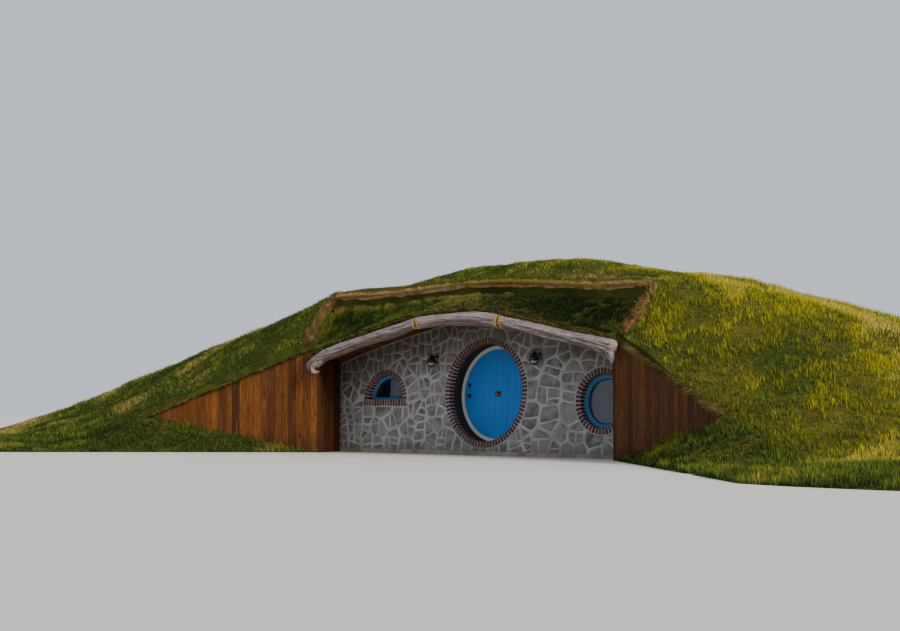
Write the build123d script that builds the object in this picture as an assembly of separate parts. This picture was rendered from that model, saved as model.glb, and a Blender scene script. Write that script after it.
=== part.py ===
from build123d import *
import os
from math import cos, exp, radians, sin

# Earth-sheltered house: a leaning rubble-stone front with round openings under an
# arched eave of logs, boarded walls that hold back the turf, a vaulted room and a
# grass mound. X runs along the front to the right, Y into the hill, Z up, all in
# millimetres. The origin is on the ground under the centre of the doorway.

# Stone front and boarded walls, in plan
LEAN = 3.5                      # degrees that the stone front leans back
FRONT_HALF = 3750.0             # half the width of the stone front
WALL_THICK = 400.0              # stone wall, square to its face
PORCH_DEPTH = 750.0             # stone front to the corners of the boarded walls
CORNER_HALF = 3500.0            # half the distance between those corners
BOARD_THICK = 60.0              # retaining boards
WING_LENGTH = 3500.0
WING_SPLAY = 25.0               # degrees that the wings turn forward
WING_TOP = 1960.0               # at the corner
WING_TIP = 660.0                # at the far end

# Arched eave
EAVE_CROWN = 2270.0             # underside of the logs at the crown
EAVE_SHIFT = 300.0              # crown to the right of the doorway
EAVE_DROP = 640.0               # how much lower the curve is one corner's width out
EAVE_POWER = 1.5                # how the curve steepens towards the ends
EAVE_REACH = 4400.0             # half length of the drawn curve
EAVE_STEPS = 12                 # points on each half of the curve
LOG_DIA = 212.0
LOG_END_DIA = 240.0             # swollen outer end on the right
LOG_ENDS = (-3470.0, 3640.0)    # outer ends, just past the corners
LOG_JOINTS = (-670.0, 1270.0)   # where the three logs meet
LOG_GAP = 8.0                   # open joint between two logs
LOG_FRONT = 95.0                # logs clear of the corners of the boards
LOG_STEPS = 5                   # sections along a log
SOFFIT_THICK = 50.0
ROOT_DIAS = (170.0, 115.0, 45.0)                                # gnarled root ends
LEFT_TONGUE = ((-3310.0, 1700.0), (-3430.0, 1640.0), (-3520.0, 1570.0))
LEFT_HOOK = ((-3340.0, 1670.0), (-3280.0, 1570.0), (-3200.0, 1500.0))
RIGHT_CLAW = ((3520.0, 1800.0), (3620.0, 1690.0), (3650.0, 1540.0))

# Round doorway
DOOR_Z = 1100.0                 # centre of the doorway above the ground
OPENING_R = 860.0
BRICK_WIDTH = 110.0
BRICK_DEPTH = 100.0
BRICK_PROUD = 20.0
LINING_THICK = 25.0
STOP_R = 778.0                  # visible opening of the door frame
STOP_DEPTH = 300.0              # stone face to the face of the door frame
STOP_THICK = 34.0
DOOR_BLOCK_HALF = 1100.0        # half the wall piece over and under the doorway

# Door
LEAF_R = 812.0
BOARDS_THICK = 35.0
LEDGER_THICK = 25.0             # boards across the inside of the leaf
LEDGER_H = 170.0
LEDGER_END = 60.0               # ledger ends short of the rim
LEAF_GAP = 8.0                  # clearance around and in front of the leaf
KNOB_R = 45.0
KNOB_THICK = 30.0
KNOB_NECK_R = 16.0
KNOB_OUT = 62.0
ROSE_R = 55.0
ROSE_THICK = 8.0
LOCK_X = -705.0
LOCK_WIDTH = 50.0
LOCK_HEIGHT = 72.0
LOCK_THICK = 16.0
BOLT_RISE = 160.0               # deadbolt above the door centre
BOLT_R = 19.0
BOLT_OUT = 34.0
HANDLE_DROP = 30.0              # handle below the door centre
HANDLE_OUT = 55.0
HANDLE_R = 10.0
HANDLE_LENGTH = 120.0
HINGE_X = 880.0                 # hinge axis from the door centre
HINGE_BACK = 22.0               # hinge axis behind the leaf
HINGE_RISE = 330.0              # each hinge above or below the door centre
PIN_R = 9.0
PIN_CLEAR = 0.1                 # running fit of the hinge pins
KNUCKLE_R = 17.0
STRAP_THICK = 10.0
STRAP_H = 60.0
STRAP_LENGTH = 640.0
PLATE_WIDTH = 90.0
PLATE_HEIGHT = 150.0
PLATE_THICK = 10.0
BRACKET_GAP = 8.0               # bracket below the strap

# Windows
ROUND_X = 2612.0
ROUND_Z = 950.0
ROUND_R = 450.0
ARCH_X = -2505.0
ARCH_Z = 985.0                  # springing line of the arched window
ARCH_R = 445.0
SILL_HEIGHT = 120.0
SILL_PROUD = 35.0
SASH_WIDTH = 50.0
SASH_SET = 100.0                # stone face to the face of a window frame
SASH_DEPTH = 70.0
GLASS_THICK = 8.0
BAR_WIDTH = 24.0                # upright bar of the arched window

# Lanterns
LANTERN_X = 1220.0
LANTERN_Z = 1655.0
LANTERN_R = 88.0
LANTERN_OUT = 150.0             # stone face to the middle of the lantern
LANTERN_WIRE = 5.0              # radius of the loops on top
HOOP_WIDTH = 8.0
HOOP_THICK = 4.0
LANTERN_HOOPS = 4               # upright hoops of the cage
BAND_H = 12.0                   # flat band round its middle
BAND_PROUD = 3.5
GLOBE_R = 72.0
CAP_R = 62.0
CAP_H = 55.0
CUP_R = 40.0
CUP_H = 26.0
LOOP_R = 22.0
ARM_R = 8.0
ROSETTE_R = 48.0
ROSETTE_THICK = 12.0

# Room behind the front
ROOM_BACK = 3300.0              # inner face of the back wall
ROOM_WALL = 200.0
FLOOR_TOP = 150.0
LEDGE_INSET = 150.0             # footing ledge ends short of the front's ends
LEDGE_OUT = 60.0
LEDGE_HEIGHT = 70.0

# Mound: a bell-shaped hill with a short flat crest
MOUND_H = 3520.0
MOUND_LEFT = 23640.0
MOUND_RIGHT = 19810.0
MOUND_FRONT = 6990.0
MOUND_REAR = 8000.0
CREST_FRONT = 1320.0
CREST_DEPTH = 1000.0
MOUND_POWER = 3.65
MOUND_SINK = 120.0              # lowers the feather edge below the ground
MOUND_SHARE = 0.82              # drawn part of each half axis
MOUND_STEPS = (65, 39)          # points along and across the turf surface
TURF_TOL = 4.0                  # how closely the surface follows them
SHOULDER_RISE = 200.0           # turf heaped beside the top of the scoop
SHOULDER_REACH = (1000.0, 450.0)
DIP_DROP = 200.0                # turf worn down behind each corner of the boards
DIP_REACH = (700.0, 500.0)
TIP_RISE = 70.0                 # turf banked against the end of each wing
TIP_REACH = (1200.0, 800.0)
APRON_RISE = 330.0              # low apron in front of each flank
APRON_OUT = 11200.0
APRON_FORWARD = 4300.0
APRON_REACH = (3500.0, 2000.0)
APRON_END = 6650.0              # drawn turf reaches this far forward
BERM_TURN = 42.0                # degrees forward of the foot of each bank
BERM_SLOPE = 33.0               # degrees that each bank rises
SCOOP_RIM = -80.0               # top edge of the scoop over the stone front
SCOOP_LIP = 210.0               # cut edge of the turf along that rim
SCOOP_POWER = 1.4               # how the scooped slope steepens towards the rim
SCOOP_COVER = 30.0              # least turf over the soffit
SCOOP_STEPS = (33, 9)

FAR = 60000.0                   # beyond everything
OVERCUT = 1.0
LEAF_FRONT = STOP_DEPTH + STOP_THICK + LEAF_GAP
BOARDS_BACK = LEAF_FRONT + BOARDS_THICK
LEAF_BACK = BOARDS_BACK + LEDGER_THICK
LOG_R = LOG_DIA / 2
LOG_Y = -(PORCH_DEPTH + LOG_R + LOG_FRONT)
BRICK_R = OPENING_R + BRICK_WIDTH
LINING_R = OPENING_R + LINING_THICK
ROOM_DEPTH = ROOM_BACK + ROOM_WALL
CREST_BACK = CREST_FRONT + CREST_DEPTH
SOFFIT_TOP = LOG_DIA + SOFFIT_THICK
GLASS_FRONT = SASH_SET + SASH_DEPTH / 2


def lean(part):
    """Tips a piece that was drawn upright back to the slope of the front."""
    return Rot(-LEAN, 0, 0) * part


def block(x0, x1, y0, y1, z0, z1):
    return Pos((x0 + x1) / 2, (y0 + y1) / 2, (z0 + z1) / 2) * Box(x1 - x0, y1 - y0, z1 - z0)


def slice_x(x0, x1):
    return block(x0, x1, -FAR, FAR, -FAR, FAR)


def slice_y(y0, y1):
    return block(-FAR, FAR, y0, y1, -FAR, FAR)


def slice_z(z0, z1):
    return block(-FAR, FAR, -FAR, FAR, z0, z1)


def disc(x, z, radius, front, back):
    """Round slab in the plane of the front, from one depth to another."""
    return Pos(x, (front + back) / 2, z) * Rot(90, 0, 0) * Cylinder(radius, back - front)


def ring(x, z, outer, inner, front, back):
    return disc(x, z, outer, front, back) - disc(x, z, inner, front - OVERCUT, back + OVERCUT)


def half_disc(x, z, radius, front, back):
    return disc(x, z, radius, front, back) & slice_z(z, FAR)


def upright(x, y, z, radius, height):
    return Pos(x, y, z) * Cylinder(radius, height)


def mirrored(part):
    return mirror(part, about=Plane.YZ)


# The eave curve: one drawn line that the logs, soffit, walls and vault all follow
def eave(x):
    """Height of the underside of the logs at x."""
    return EAVE_CROWN - EAVE_DROP * (abs(x - EAVE_SHIFT) / CORNER_HALF) ** EAVE_POWER


def under_eave(rise):
    """Everything below the eave curve lifted by rise."""
    reach = [EAVE_REACH * i / EAVE_STEPS for i in range(-EAVE_STEPS, EAVE_STEPS + 1)]
    pts = [(x, eave(x) + rise) for x in reach]
    low = -EAVE_CROWN
    sides = Polyline(pts[-1], (EAVE_REACH, low), (-EAVE_REACH, low), pts[0])
    face = make_face(Plane.XZ * Curve([Spline(*pts), *sides.edges()]))
    return extrude(face, amount=FAR, dir=(0, 1, 0), both=True)


def arch_strip():
    """Boarded vault over the whole depth, one board thick."""
    return under_eave(SOFFIT_TOP) - under_eave(LOG_DIA)


# Plan of the boarded walls on the right-hand side
def board_corners():
    start = Vector(FRONT_HALF, 0)
    corner = Vector(CORNER_HALF, -PORCH_DEPTH)
    run = Vector(cos(radians(WING_SPLAY)), -sin(radians(WING_SPLAY)))
    side = (corner - start).normalized()
    n1, n2 = Vector(-side.Y, side.X), Vector(-run.Y, run.X)
    return {
        "start": start,
        "corner": corner,
        "tip": corner + run * WING_LENGTH,
        "mitre": corner + (n1 + n2) * (BOARD_THICK / (1 + n1.dot(n2))),
        "start_back": start + n1 * BOARD_THICK,
        "tip_back": corner + run * WING_LENGTH + n2 * BOARD_THICK,
        "run": run,
    }


def prism(points):
    """Plan outline carried from far below to far above the ground."""
    face = make_face(Polyline(*[(p.X, p.Y) for p in points], close=True))
    return extrude(face, amount=FAR, dir=(0, 0, 1), both=True)


def return_wall():
    c = board_corners()
    plan = prism([c["start"], c["corner"], c["mitre"], c["start_back"]])
    return plan & slice_z(0, FAR)


def wing_wall():
    c = board_corners()
    plan = prism([c["corner"], c["tip"], c["tip_back"], c["mitre"]])
    drop = (WING_TOP - WING_TIP) / WING_LENGTH
    run = c["run"]
    side = Plane(origin=(CORNER_HALF, -PORCH_DEPTH, 0), x_dir=(run.X, run.Y, 0),
                 z_dir=(run.Y, -run.X, 0))
    near, far = -BOARD_THICK * 2, WING_LENGTH + BOARD_THICK
    outline = Polyline((near, 0), (far, 0), (far, WING_TOP - drop * far),
                       (near, WING_TOP - drop * near), close=True)
    return plan & extrude(make_face(side * outline), amount=BOARD_THICK * 4, both=True)


def boards():
    """Return and wing walls of both sides, cut to the soffit."""
    right_return = return_wall() & under_eave(LOG_DIA)
    left_return = mirrored(return_wall()) & under_eave(LOG_DIA)
    return {
        "right_return_wall": right_return,
        "left_return_wall": left_return,
        "right_wing_wall": wing_wall(),
        "left_wing_wall": mirrored(wing_wall()),
    }


# Stone front
def window_cuts():
    sill_half = ARCH_R + BRICK_WIDTH
    cuts = disc(ROUND_X, ROUND_Z, ROUND_R + BRICK_WIDTH, -OVERCUT, BRICK_DEPTH)
    cuts += disc(ROUND_X, ROUND_Z, ROUND_R, -OVERCUT, WALL_THICK + OVERCUT)
    cuts += half_disc(ARCH_X, ARCH_Z, sill_half, -OVERCUT, BRICK_DEPTH)
    cuts += half_disc(ARCH_X, ARCH_Z, ARCH_R, -OVERCUT, WALL_THICK + OVERCUT)
    cuts += block(ARCH_X - sill_half, ARCH_X + sill_half, -OVERCUT, BRICK_DEPTH,
                  ARCH_Z - SILL_HEIGHT, ARCH_Z)
    return cuts


def front_wall():
    doorway = disc(0, DOOR_Z, BRICK_R, -OVERCUT, BRICK_DEPTH)
    doorway += disc(0, DOOR_Z, LINING_R, -OVERCUT, WALL_THICK + OVERCUT)
    slab = block(-FRONT_HALF, FRONT_HALF, 0, WALL_THICK, -WALL_THICK, FAR)
    wall = slab - doorway - window_cuts()
    trim = slice_z(0, FAR) & under_eave(LOG_DIA)
    middle = wall & slice_x(-DOOR_BLOCK_HALF, DOOR_BLOCK_HALF)
    pieces = {
        "front_wall_left": wall & slice_x(-FAR, -DOOR_BLOCK_HALF),
        "front_wall_right": wall & slice_x(DOOR_BLOCK_HALF, FAR),
        "front_wall_over_door": middle & slice_z(DOOR_Z, FAR),
        "front_wall_under_door": middle & slice_z(-FAR, DOOR_Z),
    }
    return {name: lean(piece) & trim for name, piece in pieces.items()}


def brickwork():
    sill_half = ARCH_R + BRICK_WIDTH
    arch = half_disc(ARCH_X, ARCH_Z, sill_half, -BRICK_PROUD, BRICK_DEPTH)
    arch -= disc(ARCH_X, ARCH_Z, ARCH_R, -FAR, FAR)
    sill = block(ARCH_X - sill_half, ARCH_X + sill_half, -SILL_PROUD, BRICK_DEPTH,
                 ARCH_Z - SILL_HEIGHT, ARCH_Z)
    return {
        "door_brick_ring": lean(ring(0, DOOR_Z, BRICK_R, OPENING_R, -BRICK_PROUD, BRICK_DEPTH)),
        "round_window_brick_ring": lean(
            ring(ROUND_X, ROUND_Z, ROUND_R + BRICK_WIDTH, ROUND_R, -BRICK_PROUD, BRICK_DEPTH)),
        "arched_window_bricks": lean(arch),
        "arched_window_sill": lean(sill),
    }


def windows():
    back = SASH_SET + SASH_DEPTH
    round_frame = ring(ROUND_X, ROUND_Z, ROUND_R, ROUND_R - SASH_WIDTH, SASH_SET, back)
    round_glass = disc(ROUND_X, ROUND_Z, ROUND_R - SASH_WIDTH, GLASS_FRONT, GLASS_FRONT + GLASS_THICK)
    daylight = half_disc(ARCH_X, ARCH_Z, ARCH_R - SASH_WIDTH, -FAR, FAR) & slice_z(ARCH_Z + SASH_WIDTH, FAR)
    bar = daylight & slice_x(ARCH_X - BAR_WIDTH / 2, ARCH_X + BAR_WIDTH / 2)
    bar = bar & slice_y(GLASS_FRONT + GLASS_THICK, back)
    arch_frame = half_disc(ARCH_X, ARCH_Z, ARCH_R, SASH_SET, back) - daylight + bar
    return {
        "round_window_frame": lean(round_frame),
        "round_window_glass": lean(round_glass),
        "arched_window_frame": lean(arch_frame),
        "arched_window_glass": lean(daylight & slice_y(GLASS_FRONT, GLASS_FRONT + GLASS_THICK)),
    }


# Doorway and door
def doorway():
    lining = ring(0, DOOR_Z, LINING_R, OPENING_R, BRICK_DEPTH, WALL_THICK)
    frame = ring(0, DOOR_Z, OPENING_R, STOP_R, STOP_DEPTH, WALL_THICK)
    frame -= disc(0, DOOR_Z, LEAF_R + LEAF_GAP, STOP_DEPTH + STOP_THICK, WALL_THICK + OVERCUT)
    return {"door_lining": lean(lining), "door_frame": lean(frame)}


def hinge_heights():
    return (DOOR_Z - HINGE_RISE, DOOR_Z + HINGE_RISE)


def leaf():
    """Round boarded leaf, with a ledger across the inside behind each strap."""
    body = disc(0, DOOR_Z, LEAF_R, LEAF_FRONT, BOARDS_BACK)
    for z in hinge_heights():
        ledger = disc(0, DOOR_Z, LEAF_R - LEDGER_END, BOARDS_BACK, LEAF_BACK)
        body += ledger & slice_z(z - LEDGER_H / 2, z + LEDGER_H / 2)
    return body


def strap(z):
    y = LEAF_BACK + HINGE_BACK
    bar = block(HINGE_X - STRAP_LENGTH, HINGE_X, LEAF_BACK, LEAF_BACK + STRAP_THICK,
                z - STRAP_H / 2, z + STRAP_H / 2)
    bar += upright(HINGE_X, y, z, KNUCKLE_R, STRAP_H)
    return bar - upright(HINGE_X, y, z, PIN_R + PIN_CLEAR, STRAP_H * 2)


def pin_bracket(z):
    """Plate on the inner face of the wall, with an arm and the pin of one hinge."""
    y = LEAF_BACK + HINGE_BACK
    top = z - STRAP_H / 2 - BRACKET_GAP
    plate_x = HINGE_X + KNUCKLE_R + BRACKET_GAP
    plate = block(plate_x, plate_x + PLATE_WIDTH, WALL_THICK, WALL_THICK + PLATE_THICK,
                  top - PLATE_HEIGHT, top)
    arm = block(HINGE_X - KNUCKLE_R, plate_x + PLATE_WIDTH / 2, WALL_THICK, y + KNUCKLE_R,
                top - STRAP_H / 2, top)
    pin_top = z + STRAP_H / 2
    return plate + arm + upright(HINGE_X, y, (top + pin_top) / 2, PIN_R, pin_top - top)


def knob():
    """Round knob with soft edges on a neck and a flat rose."""
    head = fillet(Cylinder(KNOB_R, KNOB_THICK).edges(), KNOB_THICK / 3)
    head = Pos(0, 0, KNOB_OUT - KNOB_THICK / 2) * head
    neck = Pos(0, 0, (KNOB_OUT - KNOB_THICK / 2) / 2) * Cylinder(KNOB_NECK_R, KNOB_OUT - KNOB_THICK / 2)
    rose = Pos(0, 0, ROSE_THICK / 2) * Cylinder(ROSE_R, ROSE_THICK)
    return Pos(0, LEAF_FRONT, DOOR_Z) * Rot(90, 0, 0) * (head + neck + rose)


def lock_plate(z):
    plate = block(LOCK_X - LOCK_WIDTH / 2, LOCK_X + LOCK_WIDTH / 2, LEAF_FRONT - LOCK_THICK, LEAF_FRONT,
                  z - LOCK_HEIGHT / 2, z + LOCK_HEIGHT / 2)
    return fillet(plate.edges().filter_by(Axis.Y), LOCK_WIDTH / 5)


def furniture():
    bolt_z, handle_z = DOOR_Z + BOLT_RISE, DOOR_Z - HANDLE_DROP
    bolt = lock_plate(bolt_z) + disc(LOCK_X, bolt_z, BOLT_R, LEAF_FRONT - BOLT_OUT, LEAF_FRONT)
    handle = lock_plate(handle_z) + disc(LOCK_X, handle_z, HANDLE_R, LEAF_FRONT - HANDLE_OUT, LEAF_FRONT)
    grip = Pos(LOCK_X + HANDLE_LENGTH / 2 - HANDLE_R, LEAF_FRONT - HANDLE_OUT, handle_z)
    handle += grip * Rot(0, 90, 0) * Cylinder(HANDLE_R, HANDLE_LENGTH)
    return {"door_knob": lean(knob()), "door_deadbolt": lean(bolt), "door_handle": lean(handle)}


def door():
    pieces = {"door_leaf": lean(leaf())}
    pieces.update(furniture())
    pieces["door_hinge_straps"] = Compound(children=[lean(strap(z)) for z in hinge_heights()])
    pieces["hinge_brackets"] = Compound(children=[lean(pin_bracket(z)) for z in hinge_heights()])
    return pieces


# Lanterns
def cage():
    """Round cage of iron hoops between a cup and a pointed cap, with two loops on top."""
    hoop = Cylinder(LANTERN_R + HOOP_THICK / 2, HOOP_WIDTH) - Cylinder(LANTERN_R - HOOP_THICK / 2, BAND_H)
    hoop = Rot(90, 0, 0) * hoop & slice_z(CUP_H / 4 - LANTERN_R, LANTERN_R - CAP_H / 6)
    body = Cylinder(LANTERN_R + BAND_PROUD, BAND_H) - Cylinder(LANTERN_R - BAND_PROUD, BAND_H * 2)
    for i in range(LANTERN_HOOPS):
        body += Rot(0, 0, 180 * i / LANTERN_HOOPS) * hoop
    body += Pos(0, 0, LANTERN_R + CAP_H / 4) * Cone(CAP_R, LANTERN_WIRE, CAP_H)
    body += Pos(0, 0, -LANTERN_R) * Cone(LANTERN_WIRE, CUP_R, CUP_H)
    for side in (-1, 1):
        loop = Rot(0, 90, 0) * Torus(LOOP_R, LANTERN_WIRE)
        body += Pos(side * LOOP_R, 0, LANTERN_R + CAP_H / 2 + LOOP_R / 2) * loop
    return body


def lantern(x):
    place = Pos(x, -LANTERN_OUT, LANTERN_Z)
    arm_z = LANTERN_R + CAP_H / 4
    arm = disc(0, arm_z, ARM_R, 0, LANTERN_OUT)
    rosette = disc(0, arm_z, ROSETTE_R, LANTERN_OUT - ROSETTE_THICK, LANTERN_OUT)
    return lean(place * (cage() + arm + rosette)), lean(place * globe())


def globe():
    """Glass bulb on a neck that stands in the cup."""
    foot, shoulder = CUP_H / 2 - LANTERN_R, OVERCUT - GLOBE_R
    return Sphere(GLOBE_R) + Pos(0, 0, (foot + shoulder) / 2) * Cylinder(CUP_R / 2, shoulder - foot)


def lanterns():
    left, left_glass = lantern(-LANTERN_X)
    right, right_glass = lantern(LANTERN_X)
    return {"left_lantern": left, "left_lantern_globe": left_glass,
            "right_lantern": right, "right_lantern_globe": right_glass}


# Logs
def taper(path, diameters):
    """Round stick along a path, with its diameters given at even steps."""
    last = len(diameters) - 1
    sections = []
    for i, dia in enumerate(diameters):
        t = i / last
        sections.append(Plane(origin=path @ t, z_dir=path % t) * Circle(dia / 2))
    return loft(sections)


def log(x0, x1, start_dia, end_dia):
    xs = [x0 + (x1 - x0) * i / LOG_STEPS for i in range(LOG_STEPS + 1)]
    path = Spline(*[(x, LOG_Y, eave(x) + LOG_R) for x in xs])
    dias = [LOG_DIA] * (LOG_STEPS + 1)
    dias[0], dias[-1] = start_dia, end_dia
    return taper(path, dias)


def root(bend):
    """Gnarled root that bends down from the outer end of a log through three points."""
    return taper(Spline(*[(x, LOG_Y, z) for x, z in bend]), ROOT_DIAS)


def logs():
    left_end, right_end = LOG_ENDS
    first, second = LOG_JOINTS
    gap = LOG_GAP / 2
    left = log(left_end, first - gap, LOG_DIA, LOG_DIA) + root(LEFT_TONGUE) + root(LEFT_HOOK)
    middle = log(first + gap, second - gap, LOG_DIA, LOG_DIA)
    right = log(second + gap, right_end, LOG_DIA, LOG_END_DIA) + root(RIGHT_CLAW)
    return {"left_log": left, "middle_log": middle, "right_log": right}


# Room and roof
def porch_plan(front, back):
    """Plan of the porch out to the buried faces of the return walls."""
    c = board_corners()
    slide = c["corner"] - c["start"]
    right = [Vector(FRONT_HALF, back)] if back else []
    right += [c["start"], c["start_back"], c["mitre"], c["mitre"] + slide]
    left = [Vector(-p.X, p.Y) for p in reversed(right)]
    return prism(right + left) & slice_y(front, back)


def roof():
    strip = arch_strip()
    soffit = (strip & porch_plan(LOG_Y, 0)) - wing_wall() - mirrored(wing_wall())
    for one in logs().values():
        soffit -= one
    vault = strip & slice_x(-FRONT_HALF, FRONT_HALF) & slice_y(0, ROOM_DEPTH)
    return {"porch_soffit": soffit, "roof_vault": vault}


def room():
    front = lean(block(-FAR, FAR, -FAR, WALL_THICK, -FAR, FAR))
    below = under_eave(LOG_DIA)
    inner = FRONT_HALF - ROOM_WALL
    side = block(inner, FRONT_HALF, 0, ROOM_DEPTH, 0, FAR) - front
    rear = block(-inner, inner, ROOM_BACK, ROOM_DEPTH, 0, FAR)
    floor = block(-inner, inner, 0, ROOM_BACK, 0, FLOOR_TOP) - front
    ledge_half = FRONT_HALF - LEDGE_INSET
    ledge = block(-ledge_half, ledge_half, -LEDGE_OUT, WALL_THICK / 2, 0, LEDGE_HEIGHT)
    return {
        "right_side_wall": side & below,
        "left_side_wall": mirrored(side) & below,
        "back_wall": rear & below,
        "floor": floor,
        "footing_ledge": ledge - lean(slice_y(0, WALL_THICK)),
    }


# Turf
def heap(x, y, at_x, at_y, reach):
    """Smooth rounded rise of height one at a point on each side."""
    return exp(-((abs(x) - at_x) / reach[0]) ** 2 - ((y - at_y) / reach[1]) ** 2)


def mound_height(x, y):
    across = x / (MOUND_LEFT if x < 0 else MOUND_RIGHT)
    along = (CREST_FRONT - y) / MOUND_FRONT if y < CREST_FRONT else max(0.0, y - CREST_BACK) / MOUND_REAR
    fall = min(1.0, across ** 2 + along ** 2)
    z = (MOUND_H + MOUND_SINK) * (1 - fall) ** MOUND_POWER - MOUND_SINK
    tip = board_corners()["tip"]
    z += SHOULDER_RISE * heap(x, y, FRONT_HALF, 0, SHOULDER_REACH)
    z -= DIP_DROP * heap(x, y, CORNER_HALF, -PORCH_DEPTH, DIP_REACH)
    z += TIP_RISE * heap(x, y, tip.X, tip.Y, TIP_REACH)
    return z + APRON_RISE * heap(x, y, APRON_OUT, -APRON_FORWARD, APRON_REACH)


def scoop_height(x, y):
    """Turf that climbs from the top of the logs to the cut rim."""
    low = eave(x) + SOFFIT_TOP + SCOOP_COVER
    climb = min(1.0, max(0.0, (y - LOG_Y) / (SCOOP_RIM - LOG_Y)))
    return low + (mound_height(x, SCOOP_RIM) - SCOOP_LIP - low) * climb ** SCOOP_POWER


def turf_block(height, x0, x1, y0, y1, steps):
    """Solid below a height function over a rectangle."""
    nx, ny = steps
    xs = [x0 + (x1 - x0) * i / (nx - 1) for i in range(nx)]
    ys = [y0 + (y1 - y0) * j / (ny - 1) for j in range(ny)]
    rows = [[(x, y, height(x, y)) for x in xs] for y in ys]
    face = Face.make_surface_from_array_of_points(rows, tol=TURF_TOL)
    return Solid.extrude(face, Vector(0, 0, -2 * MOUND_H)) & slice_z(0, FAR)


def hill():
    share = MOUND_SHARE
    front = CREST_FRONT - MOUND_FRONT * share
    return turf_block(mound_height, -MOUND_LEFT * share, MOUND_RIGHT * share,
                      min(front, -APRON_END),
                      CREST_BACK + MOUND_REAR * share, MOUND_STEPS)


def before_boards():
    """Plan area in front of the buried faces of the boarded walls, both sides."""
    c = board_corners()
    right = [Vector(0, 0), c["start"], c["start_back"], c["mitre"], c["mitre"] + c["run"] * FAR,
             Vector(0, -FAR)]
    left = [Vector(-p.X, p.Y) for p in right]
    return prism(right) + prism(left)


def berm(turf):
    """Low bank in front of the right-hand wing, rising from a slanting foot line."""
    turn = radians(BERM_TURN)
    foot = Plane(origin=(CORNER_HALF, -PORCH_DEPTH, 0), x_dir=(sin(turn), cos(turn), 0),
                 z_dir=(cos(turn), -sin(turn), 0))
    reach = FAR / 3
    rise = reach * sin(radians(BERM_SLOPE)) / cos(radians(BERM_SLOPE))
    wedge = extrude(make_face(foot * Polyline((0, 0), (reach, 0), (reach, rise), close=True)), amount=reach)
    c = board_corners()
    wing = prism([c["corner"], c["tip"], c["tip_back"], c["mitre"]])
    return (turf & wedge & before_boards() & slice_y(-FAR, -PORCH_DEPTH)) - wing


def mound():
    turf = hill()
    house = under_eave(SOFFIT_TOP) & slice_x(-FRONT_HALF, FRONT_HALF) & slice_y(0, ROOM_DEPTH)
    fill = turf - before_boards() - house
    over_porch = (turf & porch_plan(SCOOP_RIM, 0)) - under_eave(SOFFIT_TOP)
    flank = slice_x(FRONT_HALF, FAR) + (slice_x(CORNER_HALF, FAR) & slice_y(-FAR, 0))
    scoop = turf_block(scoop_height, -FRONT_HALF - 2 * BOARD_THICK, FRONT_HALF + 2 * BOARD_THICK,
                       LOG_Y - LOG_R, SCOOP_RIM, SCOOP_STEPS)
    scoop = scoop & porch_plan(LOG_Y, SCOOP_RIM)
    scoop = scoop - under_eave(SOFFIT_TOP) - wing_wall() - mirrored(wing_wall())
    return {
        "right_mound": fill & flank,
        "left_mound": fill & mirrored(flank),
        "rear_mound": fill & slice_x(-FRONT_HALF, FRONT_HALF) & slice_y(ROOM_DEPTH, FAR),
        "roof_turf": (fill & slice_x(-FRONT_HALF, FRONT_HALF) & slice_y(0, ROOM_DEPTH)) + over_porch,
        "scoop_turf": scoop,
        "right_berm": berm(turf),
        "left_berm": mirrored(berm(mirrored(turf))),
    }


def all_pieces():
    pieces = {}
    for group in (front_wall, brickwork, windows, doorway, door, lanterns, logs, roof, boards, room, mound):
        pieces.update(group())
    return pieces


os.makedirs("parts", exist_ok=True)
for name, piece in all_pieces().items():
    export_step(piece, f"parts/{name}.step")
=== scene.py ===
# %% [markdown]
# # An earth-sheltered house, dressed in Blender
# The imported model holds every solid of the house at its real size: the leaning stone front,
# the logs, the boards and the mound. This lesson gives each of them the surface that the
# real one has. It starts by loading the model as a fixed frame, because every later piece
# is placed against it, in metres: X along the front, Y into the hill, Z up.
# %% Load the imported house
import math
import random

import bmesh
import bpy
import numpy as np
from mathutils import Matrix, Vector, noise
from mathutils.bvhtree import BVHTree


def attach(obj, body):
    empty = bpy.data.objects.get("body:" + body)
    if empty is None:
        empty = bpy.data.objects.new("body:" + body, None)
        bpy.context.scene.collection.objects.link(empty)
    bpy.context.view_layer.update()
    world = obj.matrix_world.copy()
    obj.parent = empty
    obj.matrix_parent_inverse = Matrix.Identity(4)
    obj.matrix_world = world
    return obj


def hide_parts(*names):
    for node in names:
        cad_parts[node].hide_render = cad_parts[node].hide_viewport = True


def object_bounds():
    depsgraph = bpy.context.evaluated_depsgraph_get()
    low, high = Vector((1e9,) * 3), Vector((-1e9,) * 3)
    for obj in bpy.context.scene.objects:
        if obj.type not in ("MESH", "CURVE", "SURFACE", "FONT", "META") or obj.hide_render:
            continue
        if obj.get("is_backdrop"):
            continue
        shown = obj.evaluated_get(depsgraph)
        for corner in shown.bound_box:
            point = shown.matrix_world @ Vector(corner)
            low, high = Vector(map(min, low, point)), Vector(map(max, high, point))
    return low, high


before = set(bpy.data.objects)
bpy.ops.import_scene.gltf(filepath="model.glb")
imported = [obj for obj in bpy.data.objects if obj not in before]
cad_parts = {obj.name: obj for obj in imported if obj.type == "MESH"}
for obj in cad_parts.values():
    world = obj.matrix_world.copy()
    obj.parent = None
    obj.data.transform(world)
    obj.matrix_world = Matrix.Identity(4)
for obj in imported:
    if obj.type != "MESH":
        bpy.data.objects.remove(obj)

cad_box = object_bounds()
print("nodes in the frame:", len(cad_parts))

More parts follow.
